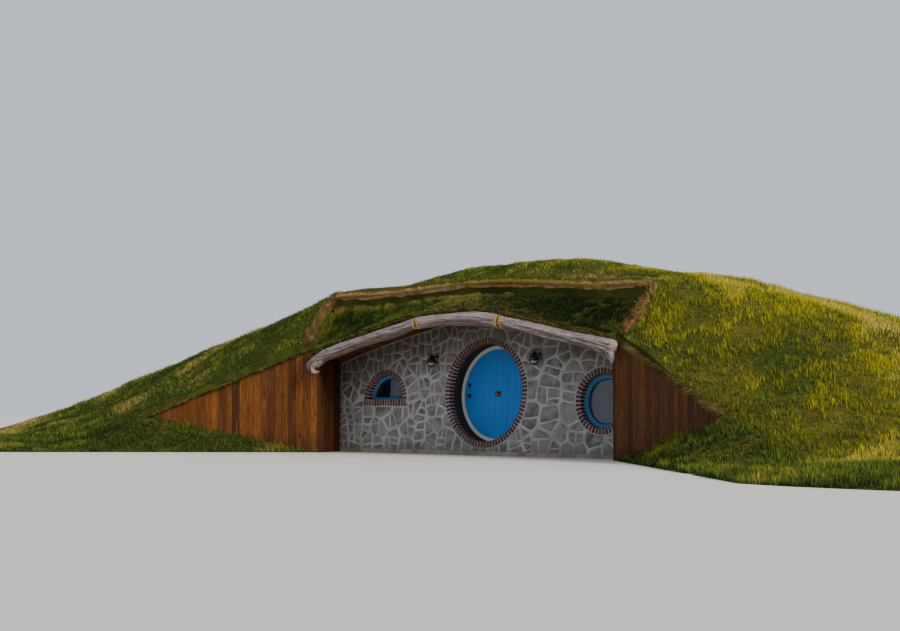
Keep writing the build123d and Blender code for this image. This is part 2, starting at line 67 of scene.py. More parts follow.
# %% [markdown]
# ## Camera
# The photograph was taken from low down and far to the right, with a long lens. The camera's
# place and axes were worked out from the round doorway and the upright edges, so they are
# written as numbers here rather than found again.
# %% Camera
eye = Vector((20.44801188, -22.56298427, 0.9))
across = Vector((0.7279042, 0.68567885, 0.0))
upward = Vector((0.03505525, -0.03721401, 0.99869227))
ahead = Vector((-0.68478216, 0.72695229, 0.05112488))
camera = bpy.data.objects.new("camera", bpy.data.cameras.new("camera"))
camera.data.lens, camera.data.sensor_width, camera.data.clip_end = 69.12, 36, 300
turn = Matrix((across, upward, -ahead)).transposed().to_4x4()
camera.matrix_world = Matrix.Translation(eye) @ turn
bpy.context.scene.collection.objects.link(camera)
bpy.context.scene.camera = camera
print("camera to doorway, metres:", round(eye.length, 1))

# %% [markdown]
# ## Shader sums in plain Python
# A material is a net of nodes. Writing each Math node by hand hides the thought behind it, so a
# small class wraps one output of a node and gives Python's + - * / a meaning: each adds the
# Math node that does the sum. The reflected forms are there too, so that 1 - mask works, with
# the number in front.
# %% Wire
class Wire:
    """One output of a node, which Python's operators can work on."""

    def __init__(self, paint, socket):
        self.paint, self.socket = paint, socket

    def sum(self, operation, first, second):
        return self.paint.node("ShaderNodeMath", {"operation": operation}, {0: first, 1: second})

    def __add__(self, other): return self.sum("ADD", self, other)
    def __radd__(self, other): return self.sum("ADD", other, self)
    def __sub__(self, other): return self.sum("SUBTRACT", self, other)
    def __rsub__(self, other): return self.sum("SUBTRACT", other, self)
    def __mul__(self, other): return self.sum("MULTIPLY", self, other)
    def __rmul__(self, other): return self.sum("MULTIPLY", other, self)
    def __truediv__(self, other): return self.sum("DIVIDE", self, other)

    def step(self, low, high):
        """0 below low, 1 above high, smooth between."""
        return self.paint.node("ShaderNodeMapRange", {"interpolation_type": "SMOOTHSTEP"},
                               {0: self, 1: low, 2: high})


# %% [markdown]
# A second class holds one material. Its method node adds any other node, from its type, its
# settings and the values or links of its sockets, and short methods name the ones that every
# finish needs: a place, a grain, a ramp, a mix. The last one feeds the shader. Textures read
# the point on the piece in metres, so that a speck has the same size on a brick and on a wall.
# %% Paint
class Paint:
    """A material that is built from short calls."""

    def __init__(self, name):
        self.material = bpy.data.materials.new(name)
        self.material.use_nodes = True
        self.tree = self.material.node_tree
        self.shader = self.tree.nodes["Principled BSDF"]

    def node(self, kind, settings=None, inputs=None, output=0):
        """Any node, from its type, its settings and the values or links of its sockets."""
        made = self.tree.nodes.new(kind)
        for key, value in (settings or {}).items():
            if key == "stops":
                ramp = made.color_ramp
                for place, _ in value[1:-1]:
                    ramp.elements.new(place)
                for element, (place, shade) in zip(ramp.elements, value):
                    element.position, element.color = place, (*shade, 1)
            else:
                setattr(made, key, value)
        for key, value in (inputs or {}).items():
            if isinstance(value, Wire):
                self.tree.links.new(value.socket, made.inputs[key])
            else:
                made.inputs[key].default_value = value
        return Wire(self, made.outputs[output])

    def place(self, stretch=(1, 1, 1), shift=None):
        """The point on the piece, in metres, stretched and shifted before a texture reads it."""
        point = self.node("ShaderNodeTexCoord", output=3)
        scaled = self.node("ShaderNodeVectorMath", {"operation": "MULTIPLY"}, {0: point, 1: stretch})
        if shift is None:
            return scaled
        return self.node("ShaderNodeVectorMath", {"operation": "ADD"}, {0: scaled, 1: shift})

    def axis(self, number):
        """One coordinate of the point on the piece: 0 is x, 1 is y and 2 is z."""
        return self.node("ShaderNodeSeparateXYZ", {}, {0: self.place()}, output=number)

    def grain(self, scale, detail=4, rough=0.55, stretch=(1, 1, 1), shift=None, twist=0.0):
        """Soft noise from 0 to 1; a stretch below 1 draws it out along that axis."""
        return self.node("ShaderNodeTexNoise", {}, {
            "Vector": self.place(stretch, shift), "Scale": scale, "Detail": detail,
            "Roughness": rough, "Distortion": twist})

    def mark(self, name):
        """A number stored on the mesh, such as one tone for each stone."""
        return self.node("ShaderNodeAttribute", {"attribute_name": name}, output=2)

    def spread(self, tone, x, y, z):
        """A shift of the texture that differs from one tone to the next."""
        return self.node("ShaderNodeCombineXYZ", {}, {0: tone * x, 1: tone * y, 2: tone * z})

    def ramp(self, value, stops):
        return self.node("ShaderNodeValToRGB", {"stops": stops}, {0: value})

    def mix(self, share, first, second):
        """The first colour, with a share of the second over it."""
        return self.node("ShaderNodeMix", {"data_type": "RGBA"},
                         {0: share, 6: self.shade(first), 7: self.shade(second)}, output=2)

    def shade(self, colour):
        return colour if isinstance(colour, Wire) else (*colour, 1)

    def finish(self, colour, rough, bumps=(), gloss=0.5, **fixed):
        """Feeds the shader: colour, roughness, bumps as (height, metres), and fixed numbers."""
        normal = None
        for height, metres in bumps:
            inputs = {"Height": height, "Distance": metres, "Strength": 1.0}
            if normal is not None:
                inputs["Normal"] = normal
            normal = self.node("ShaderNodeBump", {}, inputs)
        feeds = {"Base Color": self.shade(colour), "Roughness": rough,
                 "Specular IOR Level": gloss, **fixed}
        if normal is not None:
            feeds["Normal"] = normal
        for key, value in feeds.items():
            if isinstance(value, Wire):
                self.tree.links.new(value.socket, self.shader.inputs[key])
            else:
                self.shader.inputs[key].default_value = value
        print("finish", self.material.name, "from", len(self.tree.nodes), "nodes")
        return self.material


# %% [markdown]
# ## Stock: corners and faces for one piece
# Stones, bricks, boards and logs are all joined meshes. A small list-keeper gathers their
# corners and faces, with a tone for each of them and the finish that each face takes, and
# then lays them down as one object on its body. One tone a stone is what makes a wall of
# one material look like many stones.
# %% Stock
class Stock:
    """Gathers the corners and faces of one piece."""

    def __init__(self):
        self.points, self.tones, self.faces, self.finishes, self.soft = [], [], [], [], []

    def add(self, points, faces, tone=0.5, finish=0, soft=False):
        """Takes in points and faces; finish is the number of the paint that the faces take."""
        first = len(self.points)
        self.points += [tuple(p) for p in points]
        self.tones += [tone] * len(points)
        self.faces += [tuple(first + i for i in face) for face in faces]
        self.finishes += [finish] * len(faces)
        self.soft += [soft] * len(faces)

    def lay(self, name, body, slot, paints, replaces=()):
        """Makes one mesh of everything gathered, with its faces looking outwards."""
        mesh = bpy.data.meshes.new(name)
        mesh.from_pydata(self.points, [], self.faces)
        mesh.polygons.foreach_set("material_index", self.finishes)
        mesh.polygons.foreach_set("use_smooth", self.soft)
        mesh.attributes.new("tone", "FLOAT", "POINT").data.foreach_set("value", self.tones)
        shape = bmesh.new()
        shape.from_mesh(mesh)
        bmesh.ops.recalc_face_normals(shape, faces=shape.faces)
        shape.to_mesh(mesh)
        shape.free()
        settle(mesh, name, body, paints, replaces)


def settle(mesh, name, body, paints, replaces=()):
    """Makes a mesh a piece of the house that rides on its body."""
    for paint in paints:
        mesh.materials.append(paint)
    piece = bpy.data.objects.new(name, mesh)
    bpy.context.scene.collection.objects.link(piece)
    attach(piece, body)
    if replaces:
        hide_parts(*replaces)
    print(name, len(mesh.polygons), "faces")


# %% [markdown]
# Logs, lanterns, frames and stones have one thing in common: each can be drawn as a row of
# loops with the same number of points, like the hoops of a basket. One helper that joins such
# loops with faces makes them all. The row may close on itself, as a ring of mortar does, or end
# in a flat cap.
# %% Skin
def skin(stock, loops, along=False, caps=False, **looks):
    """Joins a row of equal loops with faces; along closes the row, caps closes its ends."""
    count, rows = len(loops[0]), len(loops)
    faces = []
    for r in range(rows if along else rows - 1):
        for i in range(count):
            j, q = (i + 1) % count, (r + 1) % rows
            faces.append((r * count + i, r * count + j, q * count + j, q * count + i))
    if caps:
        faces.append(tuple(range(count)))
        faces.append(tuple((rows - 1) * count + i for i in range(count)))
    stock.add([p for loop in loops for p in loop], faces, **looks)


# %% [markdown]
# Bricks and boards are blocks, but no real one has a knife edge, and a sharp edge in a render
# catches no light. A bevel modifier would round them after the fact. Here the bevel is built
# in: each corner of the block becomes three spots a few millimetres along its edges, and sides,
# chamfers and small corner faces are spanned between them.
# %% Block with its edges taken off
def chamfered(stock, corner, bevel, **looks):
    """Block between the eight points corner[i][j][k]; each corner becomes three spots."""
    spots, faces, where = [], [], {}
    for i in (0, 1):
        for j in (0, 1):
            for k in (0, 1):
                here = Vector(corner[i][j][k])
                to = [Vector(corner[1 - i][j][k]) - here, Vector(corner[i][1 - j][k]) - here,
                      Vector(corner[i][j][1 - k]) - here]
                to = [v.normalized() * min(bevel, v.length / 3) for v in to]
                for a in range(3):
                    where[i, j, k, a] = len(spots)
                    spots.append(here + to[(a + 1) % 3] + to[(a + 2) % 3])
    for a in range(3):
        b, c = (a + 1) % 3, (a + 2) % 3
        for s in (0, 1):
            ring = []
            for u, v in ((0, 0), (1, 0), (1, 1), (0, 1)):
                index = [0, 0, 0]
                index[a], index[b], index[c] = s, u, v
                ring.append(where[(*index, a)])
            faces.append(ring)  # a side of the block
        for u in (0, 1):
            for v in (0, 1):
                ends = []
                for s in (0, 1):
                    index = [0, 0, 0]
                    index[a], index[b], index[c] = s, u, v
                    ends.append(tuple(index))
                faces.append([where[(*ends[0], b)], where[(*ends[1], b)],
                              where[(*ends[1], c)], where[(*ends[0], c)]])  # a chamfer
    for i in (0, 1):
        for j in (0, 1):
            for k in (0, 1):
                faces.append([where[i, j, k, a] for a in range(3)])  # a corner
    stock.add(spots, faces, **looks)


# %% [markdown]
# ## Where things are
# The stone front leans back by a few degrees, and everything on it leans too. It is easiest to
# draw the front upright, as x, height and depth, and to tip each point back at the end. The
# log eave follows one curve, and the soffit, boards and stones all end at it.
# %% The leaning front and the eave curve
LEAN = math.radians(3.5)
DOOR_Z, DOOR_R = 1.10, 0.86                        # centre and radius of the doorway
ARCH_X, ARCH_Z, ARCH_R = -2.505, 0.985, 0.445      # arched window, from the top of its sill
ROUND_X, ROUND_Z, ROUND_R = 2.612, 0.95, 0.45      # round window
RING = 0.11                                        # width of a ring of bricks
LOG_Y = -0.951                                     # middle of the logs, before the front
EAVE_X, EAVE_TOP = 0.3, 2.27                       # crown of the eave
EAVE_DROP, EAVE_HALF, EAVE_BEND = 0.64, 3.5, 1.5   # its fall, over which half width


def tipped(x, up, depth):
    """A point drawn on the upright front, tipped back with the wall."""
    return Vector((x, depth * math.cos(LEAN) + up * math.sin(LEAN),
                   up * math.cos(LEAN) - depth * math.sin(LEAN)))


def eave(x):
    """Height of the line under the logs, which the soffit and the stones follow too."""
    return EAVE_TOP - EAVE_DROP * (abs(x - EAVE_X) / EAVE_HALF) ** EAVE_BEND


print("eave at the crown and at the corners:", [round(eave(x), 2) for x in (EAVE_X, -3.5, 3.5)])

# %% [markdown]
# ## Light and floor
# A pale floor and a soft, warm key light from low on the right copy the side light of the
# photograph. The wide lamp keeps shadow edges soft, as a studio light would, and the pale
# world fills the shade.
# %% Light and floor
floor_paint = Paint("pale_floor")
floor_mesh = bpy.data.meshes.new("floor_sheet")
reach, level = 90, -0.002
floor_mesh.from_pydata([(x * reach, y * reach, level) for x, y in ((-1, -1), (1, -1), (1, 1), (-1, 1))],
                       [], [(0, 1, 2, 3)])
floor_mesh.materials.append(floor_paint.finish((0.62, 0.61, 0.59), 0.9))
floor_sheet = bpy.data.objects.new("floor_sheet", floor_mesh)
bpy.context.scene.collection.objects.link(floor_sheet)
floor_sheet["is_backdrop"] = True

world = bpy.data.worlds.new("studio")
bpy.context.scene.world = world
world.use_nodes = True
world.node_tree.nodes["Background"].inputs["Color"].default_value = (0.80, 0.87, 1.0, 1)
world.node_tree.nodes["Background"].inputs["Strength"].default_value = 0.85

key = bpy.data.objects.new("key_light", bpy.data.lights.new("key_light", "SUN"))
key.data.energy, key.data.angle, key.data.color = 4.6, 0.30, (1.0, 0.88, 0.68)
swing, climb = math.radians(6), math.radians(24)
toward_key = Vector((math.cos(swing), -math.sin(swing), math.tan(climb)))
key.rotation_euler = toward_key.to_track_quat("Z", "Y").to_euler()
bpy.context.scene.collection.objects.link(key)
print("key light from", tuple(round(v, 2) for v in toward_key.normalized()))

# %% [markdown]
# ## Stone and mortar
# The front is built of flat grey fieldstones of many shapes, set in wide, pale joints that
# stand a little proud of the stones. One stone colour would look like plastic: each stone takes
# its own tone from blue-grey to brown-grey, with specks, clouds and a rough face. The mortar is
# gritty and darkens near the ground, where splashed water leaves dirt. Both get a painted shade
# under the eave, where the logs keep the sun off, by a mask that follows the curve of the logs.
# %% Stone and mortar finishes
def painted_eave_shade(p):
    """Painted shade under the eave: 1 just below it, fading to 0 nearly a metre down."""
    x, z = p.axis(0), p.axis(2)
    away = p.node("ShaderNodeMath", {"operation": "ABSOLUTE"}, {0: x - EAVE_X}) / EAVE_HALF
    fall = p.node("ShaderNodeMath", {"operation": "POWER"}, {0: away, 1: EAVE_BEND})
    return (z + fall * EAVE_DROP).step(1.50, 2.38)


def stone_finish():
    p = Paint("fieldstone")
    tone = p.mark("tone")
    base = p.ramp(tone, [(0.0, (0.090, 0.092, 0.098)), (0.3, (0.150, 0.150, 0.150)),
                         (0.55, (0.142, 0.132, 0.114)), (0.8, (0.220, 0.215, 0.205)),
                         (1.0, (0.190, 0.175, 0.150))])
    clouds = p.grain(7, 5, shift=p.spread(tone, 40, 17, 29))
    specks = p.grain(160, 3, 0.7)
    colour = p.mix(clouds.step(0.40, 0.62) * 0.6, base, (0.275, 0.265, 0.245))
    colour = p.mix((1 - clouds.step(0.34, 0.46)) * 0.5, colour, (0.075, 0.068, 0.058))
    colour = p.mix(specks.step(0.56, 0.70) * 0.4, colour, (0.05, 0.05, 0.05))
    damp = 1 - p.axis(2).step(0.0, 0.35)
    colour = p.mix(damp * 0.35, colour, (0.08, 0.072, 0.058))
    # painted shade under the eave, darkening the stones
    colour = p.mix(painted_eave_shade(p) * 0.85, colour, (0.050, 0.037, 0.024))
    return p.finish(colour, 0.93 - clouds * 0.2, [(clouds, 0.012), (specks, 0.0015)])


def mortar_finish():
    p = Paint("pale_mortar")
    patches = p.grain(3.5, 4)
    grit = p.grain(120, 3, 0.8)
    height = p.axis(2)
    colour = p.mix(patches.step(0.35, 0.68), (0.29, 0.278, 0.262), (0.425, 0.412, 0.392))
    colour = p.mix(grit.step(0.50, 0.72) * 0.35, colour, (0.19, 0.175, 0.16))
    splash = (1 - height.step(0.02, 0.40)) * p.grain(6, 4).step(0.3, 0.7)
    colour = p.mix(splash * 0.5, colour, (0.14, 0.12, 0.09))
    # painted shade under the eave, darkening the mortar
    colour = p.mix(painted_eave_shade(p) * 0.75, colour, (0.110, 0.084, 0.060))
    return p.finish(colour, 0.95, [(patches, 0.006), (grit, 0.0025)])


fieldstone, pale_mortar = stone_finish(), mortar_finish()

# %% [markdown]
# ## Cutting the front into stones
# Stones could be drawn one by one, or made by a cell texture. Here each stone is cut as real
# geometry, so that its joints stand out when seen from the side. The work starts with the
# limits: each is a function that says how far a point is from a doorway, a window or an edge.
# From that it can also be told which way leads to the limit, and where on it a point belongs.
# %% The limits of the stonework
SIDE, STONE_TOP, STONE_FOOT = 3.742, 0.205, 0.004  # ends of the stonework, over the eave line
SILL_DROP = 0.12                                   # height of the brick sill


def door_limit(x, z):
    return math.hypot(x, z - DOOR_Z) - DOOR_R - RING


def round_limit(x, z):
    return math.hypot(x - ROUND_X, z - ROUND_Z) - ROUND_R - RING


def arch_limit(x, z):
    if z > ARCH_Z:
        return math.hypot(x - ARCH_X, z - ARCH_Z) - ARCH_R - RING
    side = abs(x - ARCH_X) - ARCH_R - RING
    below = ARCH_Z - SILL_DROP - z
    return math.hypot(max(side, 0), max(below, 0)) + min(0, max(side, below))


limits = [door_limit, round_limit, arch_limit,
          lambda x, z: (eave(x) + STONE_TOP - z) * 0.96,
          lambda x, z: SIDE - x, lambda x, z: x + SIDE, lambda x, z: z - STONE_FOOT]


def slope_of(limit, x, z, near=0.002):
    """Direction in which a limit falls back, found from its values close by."""
    gx = (limit(x + near, z) - limit(x - near, z)) / (2 * near)
    gz = (limit(x, z + near) - limit(x, z - near)) / (2 * near)
    size = math.hypot(gx, gz) or 1
    return gx / size, gz / size


def onto(limit, x, z):
    """Moves a point on to a limit."""
    for _ in range(2):
        away = limit(x, z)
        gx, gz = slope_of(limit, x, z)
        x, z = x - away * gx, z - away * gz
    return x, z


print("limits of the stonework:", len(limits))

# %% [markdown]
# Seed points are scattered over the wall by chance, each with a reach of its own, and one is
# kept only where it doesn't crowd the others. Large and small reaches together give large
# stones with small fillers between them, as a mason sorts them.
# %% Seeds
def scatter_seeds(tries=9000):
    """Seeds with their own reach: large stones here, small fillers there."""
    seeds = []
    for _ in range(tries):
        x, z = rng.uniform(-3.74, 3.74), rng.uniform(0, 2.5)
        if min(limit(x, z) for limit in limits) < 0.035:
            continue
        size = rng.choice((0.12, 0.16, 0.21, 0.26)) * (1.1 if x > 1 else 1.0)
        if all(math.hypot((x - a) / 1.15, z - b) > (size + c) * 0.86 for a, b, c in seeds):
            seeds.append((x, z, size))
    return seeds


rng = random.Random(7)
seeds = scatter_seeds()
print("seeds in the front:", len(seeds))


# %% [markdown]
# The seeds share out the wall as farms share out land: each stone is the part that is nearest
# to its own seed. A square round the seed is cut along the middle line to each neighbour,
# nearest first. A seed with a longer reach pushes that line away and gets a larger stone.
# Beside a doorway, window or edge, a mirrored seed on the far side makes the cell stop there.
# %% Cells round the seeds
def cut(shape, nx, nz, reach, label):
    """Keeps the part of a polygon with nx*x + nz*z <= reach; the new edge takes the label."""
    kept = []
    for i, (p, tag) in enumerate(shape):
        q = shape[(i + 1) % len(shape)][0]
        dp, dq = nx * p[0] + nz * p[1] - reach, nx * q[0] + nz * q[1] - reach
        if dp <= 0:
            kept.append((p, tag))
        if (dp <= 0) != (dq <= 0):
            t = dp / (dp - dq)
            crossing = (p[0] + (q[0] - p[0]) * t, p[1] + (q[1] - p[1]) * t)
            kept.append((crossing, label if dp <= 0 else tag))
    return kept


def stone_cell(k, half=0.9):
    """The part of the wall that is nearest to seed k, as corners with the limits they meet."""
    x, z, size = seeds[k]
    shape = [((x + sx * half, z + sz * half), None) for sx, sz in ((-1, -1), (1, -1), (1, 1), (-1, 1))]
    rivals = [(a, b, c, None) for i, (a, b, c) in enumerate(seeds)
              if i != k and math.hypot(a - x, b - z) < 1.3]
    for n, limit in enumerate(limits):
        away = limit(x, z)
        if away < 0.6:
            gx, gz = slope_of(limit, x, z)
            rivals.append((x - 2 * away * gx, z - 2 * away * gz, size, n))
    for a, b, c, label in sorted(rivals, key=lambda r: math.hypot(r[0] - x, r[1] - z)):
        reach = (a * a + b * b - c * c * 0.5 - x * x - z * z + size * size * 0.5) / 2
        shape = cut(shape, a - x, b - z, reach, label)
        if len(shape) < 3:
            return []
    return shape


def measures(shape):
    """Area and middle of a cell."""
    points = np.array([p for p, _ in shape])
    after = np.roll(points, -1, 0)
    cross = points[:, 0] * after[:, 1] - after[:, 0] * points[:, 1]
    return cross.sum() / 2, ((points + after) * cross[:, None]).sum(0) / (3 * cross.sum())


print("area of the first cell:", round(measures(stone_cell(0))[0], 4))


# %% [markdown]
# Cells that only share out the wall by distance look like a honeycomb. A mason breaks stones
# along straight lines, so each large cell is broken again, across its long side and a little
# askew, and less askew on the right, where the real stones lie flatter. A break that would
# leave a sliver or a sharp corner is tried again at another angle. That gives the straight
# edges, square corners and T-shaped joints of the real wall.
# %% Breaking the cells
def stout(shape):
    """How far a cell is from being a sliver: 0.08 is a circle, a thin wedge is below 0.035."""
    points = np.array([p for p, _ in shape])
    around = np.linalg.norm(points - np.roll(points, -1, 0), axis=1).sum()
    return measures(shape)[0] / around ** 2


def sharpest(shape):
    """Smallest corner of a cell, as an angle."""
    points = np.array([p for p, _ in shape])
    after, before = np.roll(points, -1, 0) - points, np.roll(points, 1, 0) - points
    spread = (after * before).sum(1) / np.linalg.norm(after, axis=1) / np.linalg.norm(before, axis=1)
    return math.acos(min(1.0, spread.max()))


def sound(part):
    """Whether a broken piece would make a stone."""
    return len(part) > 3 and measures(part)[0] > 0.006 and stout(part) > 0.043 and sharpest(part) > 0.95


def broken(shape, goal, tries=14):
    """The cell, or the parts that it breaks into, down to about the goal in square metres."""
    area, middle = measures(shape)
    if area < goal * rng.uniform(0.6, 1.9):
        return [shape]
    on_right = middle[0] > 1
    wide, tall = np.ptp([p for p, _ in shape], axis=0) * (1, 1.35 if on_right else 1.0)
    for _ in range(tries):
        heading = (math.pi / 2 if tall > wide else 0) + rng.gauss(0, 0.13 if on_right else 0.28)
        nx, nz = math.cos(heading), math.sin(heading)
        reach = nx * middle[0] + nz * middle[1] + rng.uniform(-0.16, 0.16) * math.sqrt(area)
        parts = [cut(shape, nx, nz, reach, None), cut(shape, -nx, -nz, -reach, None)]
        if all(sound(part) for part in parts):
            return [piece for part in parts for piece in broken(part, goal)]
    return [shape]


print("the first cell is", round(stout(stone_cell(0)), 3), "stout")


# %% [markdown]
# Straight cuts alone look drawn with a ruler. Each edge is divided into short steps and bent by
# a noise that depends only on the place, so that two stones that share an edge bend it in the
# same way. Blender starts a noise of vectors from the clock, so it gets a seed first, or the
# stones would change with every run. Points that belong to a limit are put back on it exactly,
# and the joint beside the bricks stays true.
# %% Points along an edge
noise.seed_set(7)


def wobble(x, y, z, scale, size):
    """A small push that varies smoothly from place to place."""
    return Vector(noise.noise_vector(Vector((x, y, z)) * scale)) * size


def edge_points(shape, step=0.03):
    """Points along a cell's edge, bent a little, and set exactly on a limit that it meets."""
    out = []
    for i, (p, tag) in enumerate(shape):
        q = shape[(i + 1) % len(shape)][0]
        before = shape[i - 1][1]
        n = max(1, round(math.dist(p, q) / step))
        for s in range(n):
            x, z = p[0] + (q[0] - p[0]) * s / n, p[1] + (q[1] - p[1]) * s / n
            tags = {tag, before} if s == 0 else {tag}
            bend = wobble(x, 0, z, 5, 0.022) + wobble(x, 3, z, 17, 0.008)
            x, z = x + bend.x, z + bend.z
            for t in tags - {None}:
                x, z = onto(limits[t], x, z)
            out.append((x, z))
    return np.array(out)


print("points round the first cell:", len(edge_points(stone_cell(0))))


# %% [markdown]
# Each cell then becomes a stone in its joint. Rings of points go from the edge of the cell to
# its middle. The first ones are the rounded ridge of mortar, the fourth lies at the foot of the
# stone's edge, and the last climb on to its uneven, slightly tilted face. After the ridge each
# ring is drawn towards the middle of the stone instead of being set inwards, because rings set
# inwards cross each other in a sharp corner. Smoothing them rounds the corners.
# %% Stones and joints
def set_in(loop, amount):
    """A loop with each point moved inwards, square to the loop."""
    along = np.roll(loop, -1, 0) - np.roll(loop, 1, 0)
    along /= np.maximum(np.linalg.norm(along, axis=1, keepdims=True), 1e-9)
    return loop + np.stack((-along[:, 1], along[:, 0]), 1) * amount


def smoothed(loop):
    return (np.roll(loop, 1, 0) + 2 * loop + np.roll(loop, -1, 0)) / 4


def pitted(x, z, tone):
    """Small unevenness of a stone's face, different for each tone."""
    return noise.noise(Vector((x * 14, tone * 60, z * 14))) * 0.004


def lay_stone(stock, loop, tone):
    """One stone with the half of its joints that lies round it."""
    middle = loop.mean(0)
    nearest = np.linalg.norm(loop - middle, axis=1).min()
    half_joint = min(0.0205, nearest * 0.32) * rng.uniform(0.85, 1.15)
    tilt_x, tilt_z = rng.uniform(-0.05, 0.05), rng.uniform(-0.05, 0.05)
    ridge = set_in(loop, half_joint * 0.45)
    shoulder = middle + (smoothed(ridge) - middle) * (1 - half_joint * 0.45 / nearest)
    shapes = [(loop, 0.016), (ridge, 0.0145), (shoulder, 0.009)]
    for shrink, rise in ((0.005, 0.004), (0.011, 0.0085), (0.011 + nearest * 0.16, 0.0125)):
        shapes.append((middle + (smoothed(shoulder) - middle) * (1 - shrink / nearest), rise))
    rings = []
    for n, (shape, rise) in enumerate(shapes):
        ring = []
        for x, z in shape:
            lift = rise
            if n > 3:
                lift += (x - middle[0]) * tilt_x + (z - middle[1]) * tilt_z
                lift += pitted(x, z, tone)
            elif n:
                lift += noise.noise(Vector((x * 30, 9, z * 30))) * 0.002
            ring.append(tipped(x, z, -max(lift, 0.001)))
        rings.append(ring)
    skin(stock, rings[:4], finish=1, soft=True, tone=tone)
    skin(stock, rings[3:], finish=0, soft=True, tone=tone)
    hub = tipped(middle[0], middle[1], -0.0135 - pitted(middle[0], middle[1], tone))
    last, count = rings[-1], len(rings[-1])
    fan = [(i, (i + 1) % count, count) for i in range(count)]
    stock.add([*last, hub], fan, finish=0, soft=True, tone=tone)


stonework, laid = Stock(), 0
for k, seed in enumerate(seeds):
    cell = stone_cell(k)
    for part in (broken(cell, 0.085 if seed[0] > 1 else 0.050) if cell else []):
        lay_stone(stonework, edge_points(part), rng.random())
        laid += 1
print("stones in the front:", laid)
stonework.lay("front_stonework", "house", "rubble_stone", [fieldstone, pale_mortar])

# %% [markdown]
# The slabs behind the stonework are the body of the wall. They show only inside the room and in
# the depth of the openings, so they take the mortar finish as a coat of render.
# %% Wall body
def coat(material, *names):
    """Gives a node of the frame its finish."""
    for name in names:
        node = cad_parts[name]
        node.data.materials.clear()
        node.data.materials.append(material)
    print(material.name, "on", *names)


coat(pale_mortar, "front_wall_left", "front_wall_right", "front_wall_over_door",
     "front_wall_under_door")

# %% [markdown]
# ## Bricks round the openings
# Narrow dark bricks stand on end round the door and the windows, with pale joints. The finish
# comes first. Fired clay isn't one red: the tone stored on each brick picks its colour from a
# ramp, a pale scum of lime lies on it in clouds, and fine pores roughen it.
# %% Brick finish
def brick_finish():
    p = Paint("dark_brick")
    tone = p.mark("tone")
    colour = p.ramp(tone, [(0.0, (0.042, 0.013, 0.012)), (0.45, (0.088, 0.022, 0.018)),
                           (0.75, (0.12, 0.034, 0.025)), (1.0, (0.070, 0.028, 0.025))])
    pores = p.grain(210, 3, 0.7)
    scum = p.grain(14, 4)
    colour = p.mix(scum.step(0.55, 0.75) * 0.35, colour, (0.30, 0.25, 0.22))
    return p.finish(colour, 0.88, [(pores, 0.0012), (scum, 0.003)])


dark_brick = brick_finish()

# %% [markdown]
# A ring could be one tube with painted joints, but its bricks would look cast. Each brick is a
# wedge with worn edges, turned and pushed by a hair, and takes two thirds of its pitch. A ring
# of mortar, turned from a profile like a bowl, lies a little deeper and fills the joints.
# %% Rings of bricks
BRICK_FRONT, BRICK_BACK = -0.024, 0.095
BRICK_HALF = 0.335                                 # half of a brick, as a share of its pitch
WORN = 0.0035                                      # bevel of a worn brick or board


def polar(cx, cz, radius, angle, depth):
    """A point of the leaning front, by its radius and angle from an opening's centre."""
    return tipped(cx + radius * math.cos(angle), cz + radius * math.sin(angle), depth)


def wedge_brick(stock, cx, cz, angle, half, inner, outer):
    """One brick on end, pushed, twisted and grown by a hair."""
    push, twist = rng.uniform(-0.002, 0.0015), rng.uniform(-0.05, 0.05) * half
    grow = rng.uniform(-0.002, 0.003)
    corner = [[[polar(cx, cz, r, angle + s * half + twist, d) for s in (-1, 1)]
               for r in (inner + 0.0005, outer - 0.003 + grow)]
              for d in (BRICK_FRONT + push, BRICK_BACK)]
    chamfered(stock, corner, WORN, tone=rng.random())


def turned(stock, cx, cz, profile, start=0.0, sweep=2 * math.pi, count=144, **looks):
    """Turns a closed profile of (radius, depth) round an opening's centre."""
    full = sweep > 6.28
    turns = [start + sweep * i / count for i in range(count if full else count + 1)]
    loops = [[polar(cx, cz, r, a, d) for r, d in profile] for a in turns]
    skin(stock, loops, along=full, caps=not full, **looks)


def mortar_profile(inner, outer, front=-0.013, back=0.098):
    """Section of the ring of mortar, from its front round to its back."""
    return [(inner + 0.010, front), (outer - 0.002, front), (outer, front + 0.004),
            (outer, back), (inner + 0.006, back), (inner + 0.006, front + 0.004)]


def brick_ring(name, node, cx, cz, inner, count, start=0.0, sweep=2 * math.pi):
    """A ring or arch of so many bricks in their mortar."""
    stock = Stock()
    half = sweep / count * BRICK_HALF
    for i in range(count):
        wedge_brick(stock, cx, cz, start + sweep * (i + 0.5) / count, half, inner, inner + RING)
    turned(stock, cx, cz, mortar_profile(inner, inner + RING), start, sweep, finish=1)
    stock.lay(name, "house", "brick", [dark_brick, pale_mortar], [node])


brick_ring("door_bricks", "door_brick_ring", 0, DOOR_Z, DOOR_R, 84)
brick_ring("round_window_bricks", "round_window_brick_ring", ROUND_X, ROUND_Z, ROUND_R, 45)
brick_ring("arched_window_brickwork", "arched_window_bricks", ARCH_X, ARCH_Z, ARCH_R, 23, 0, math.pi)


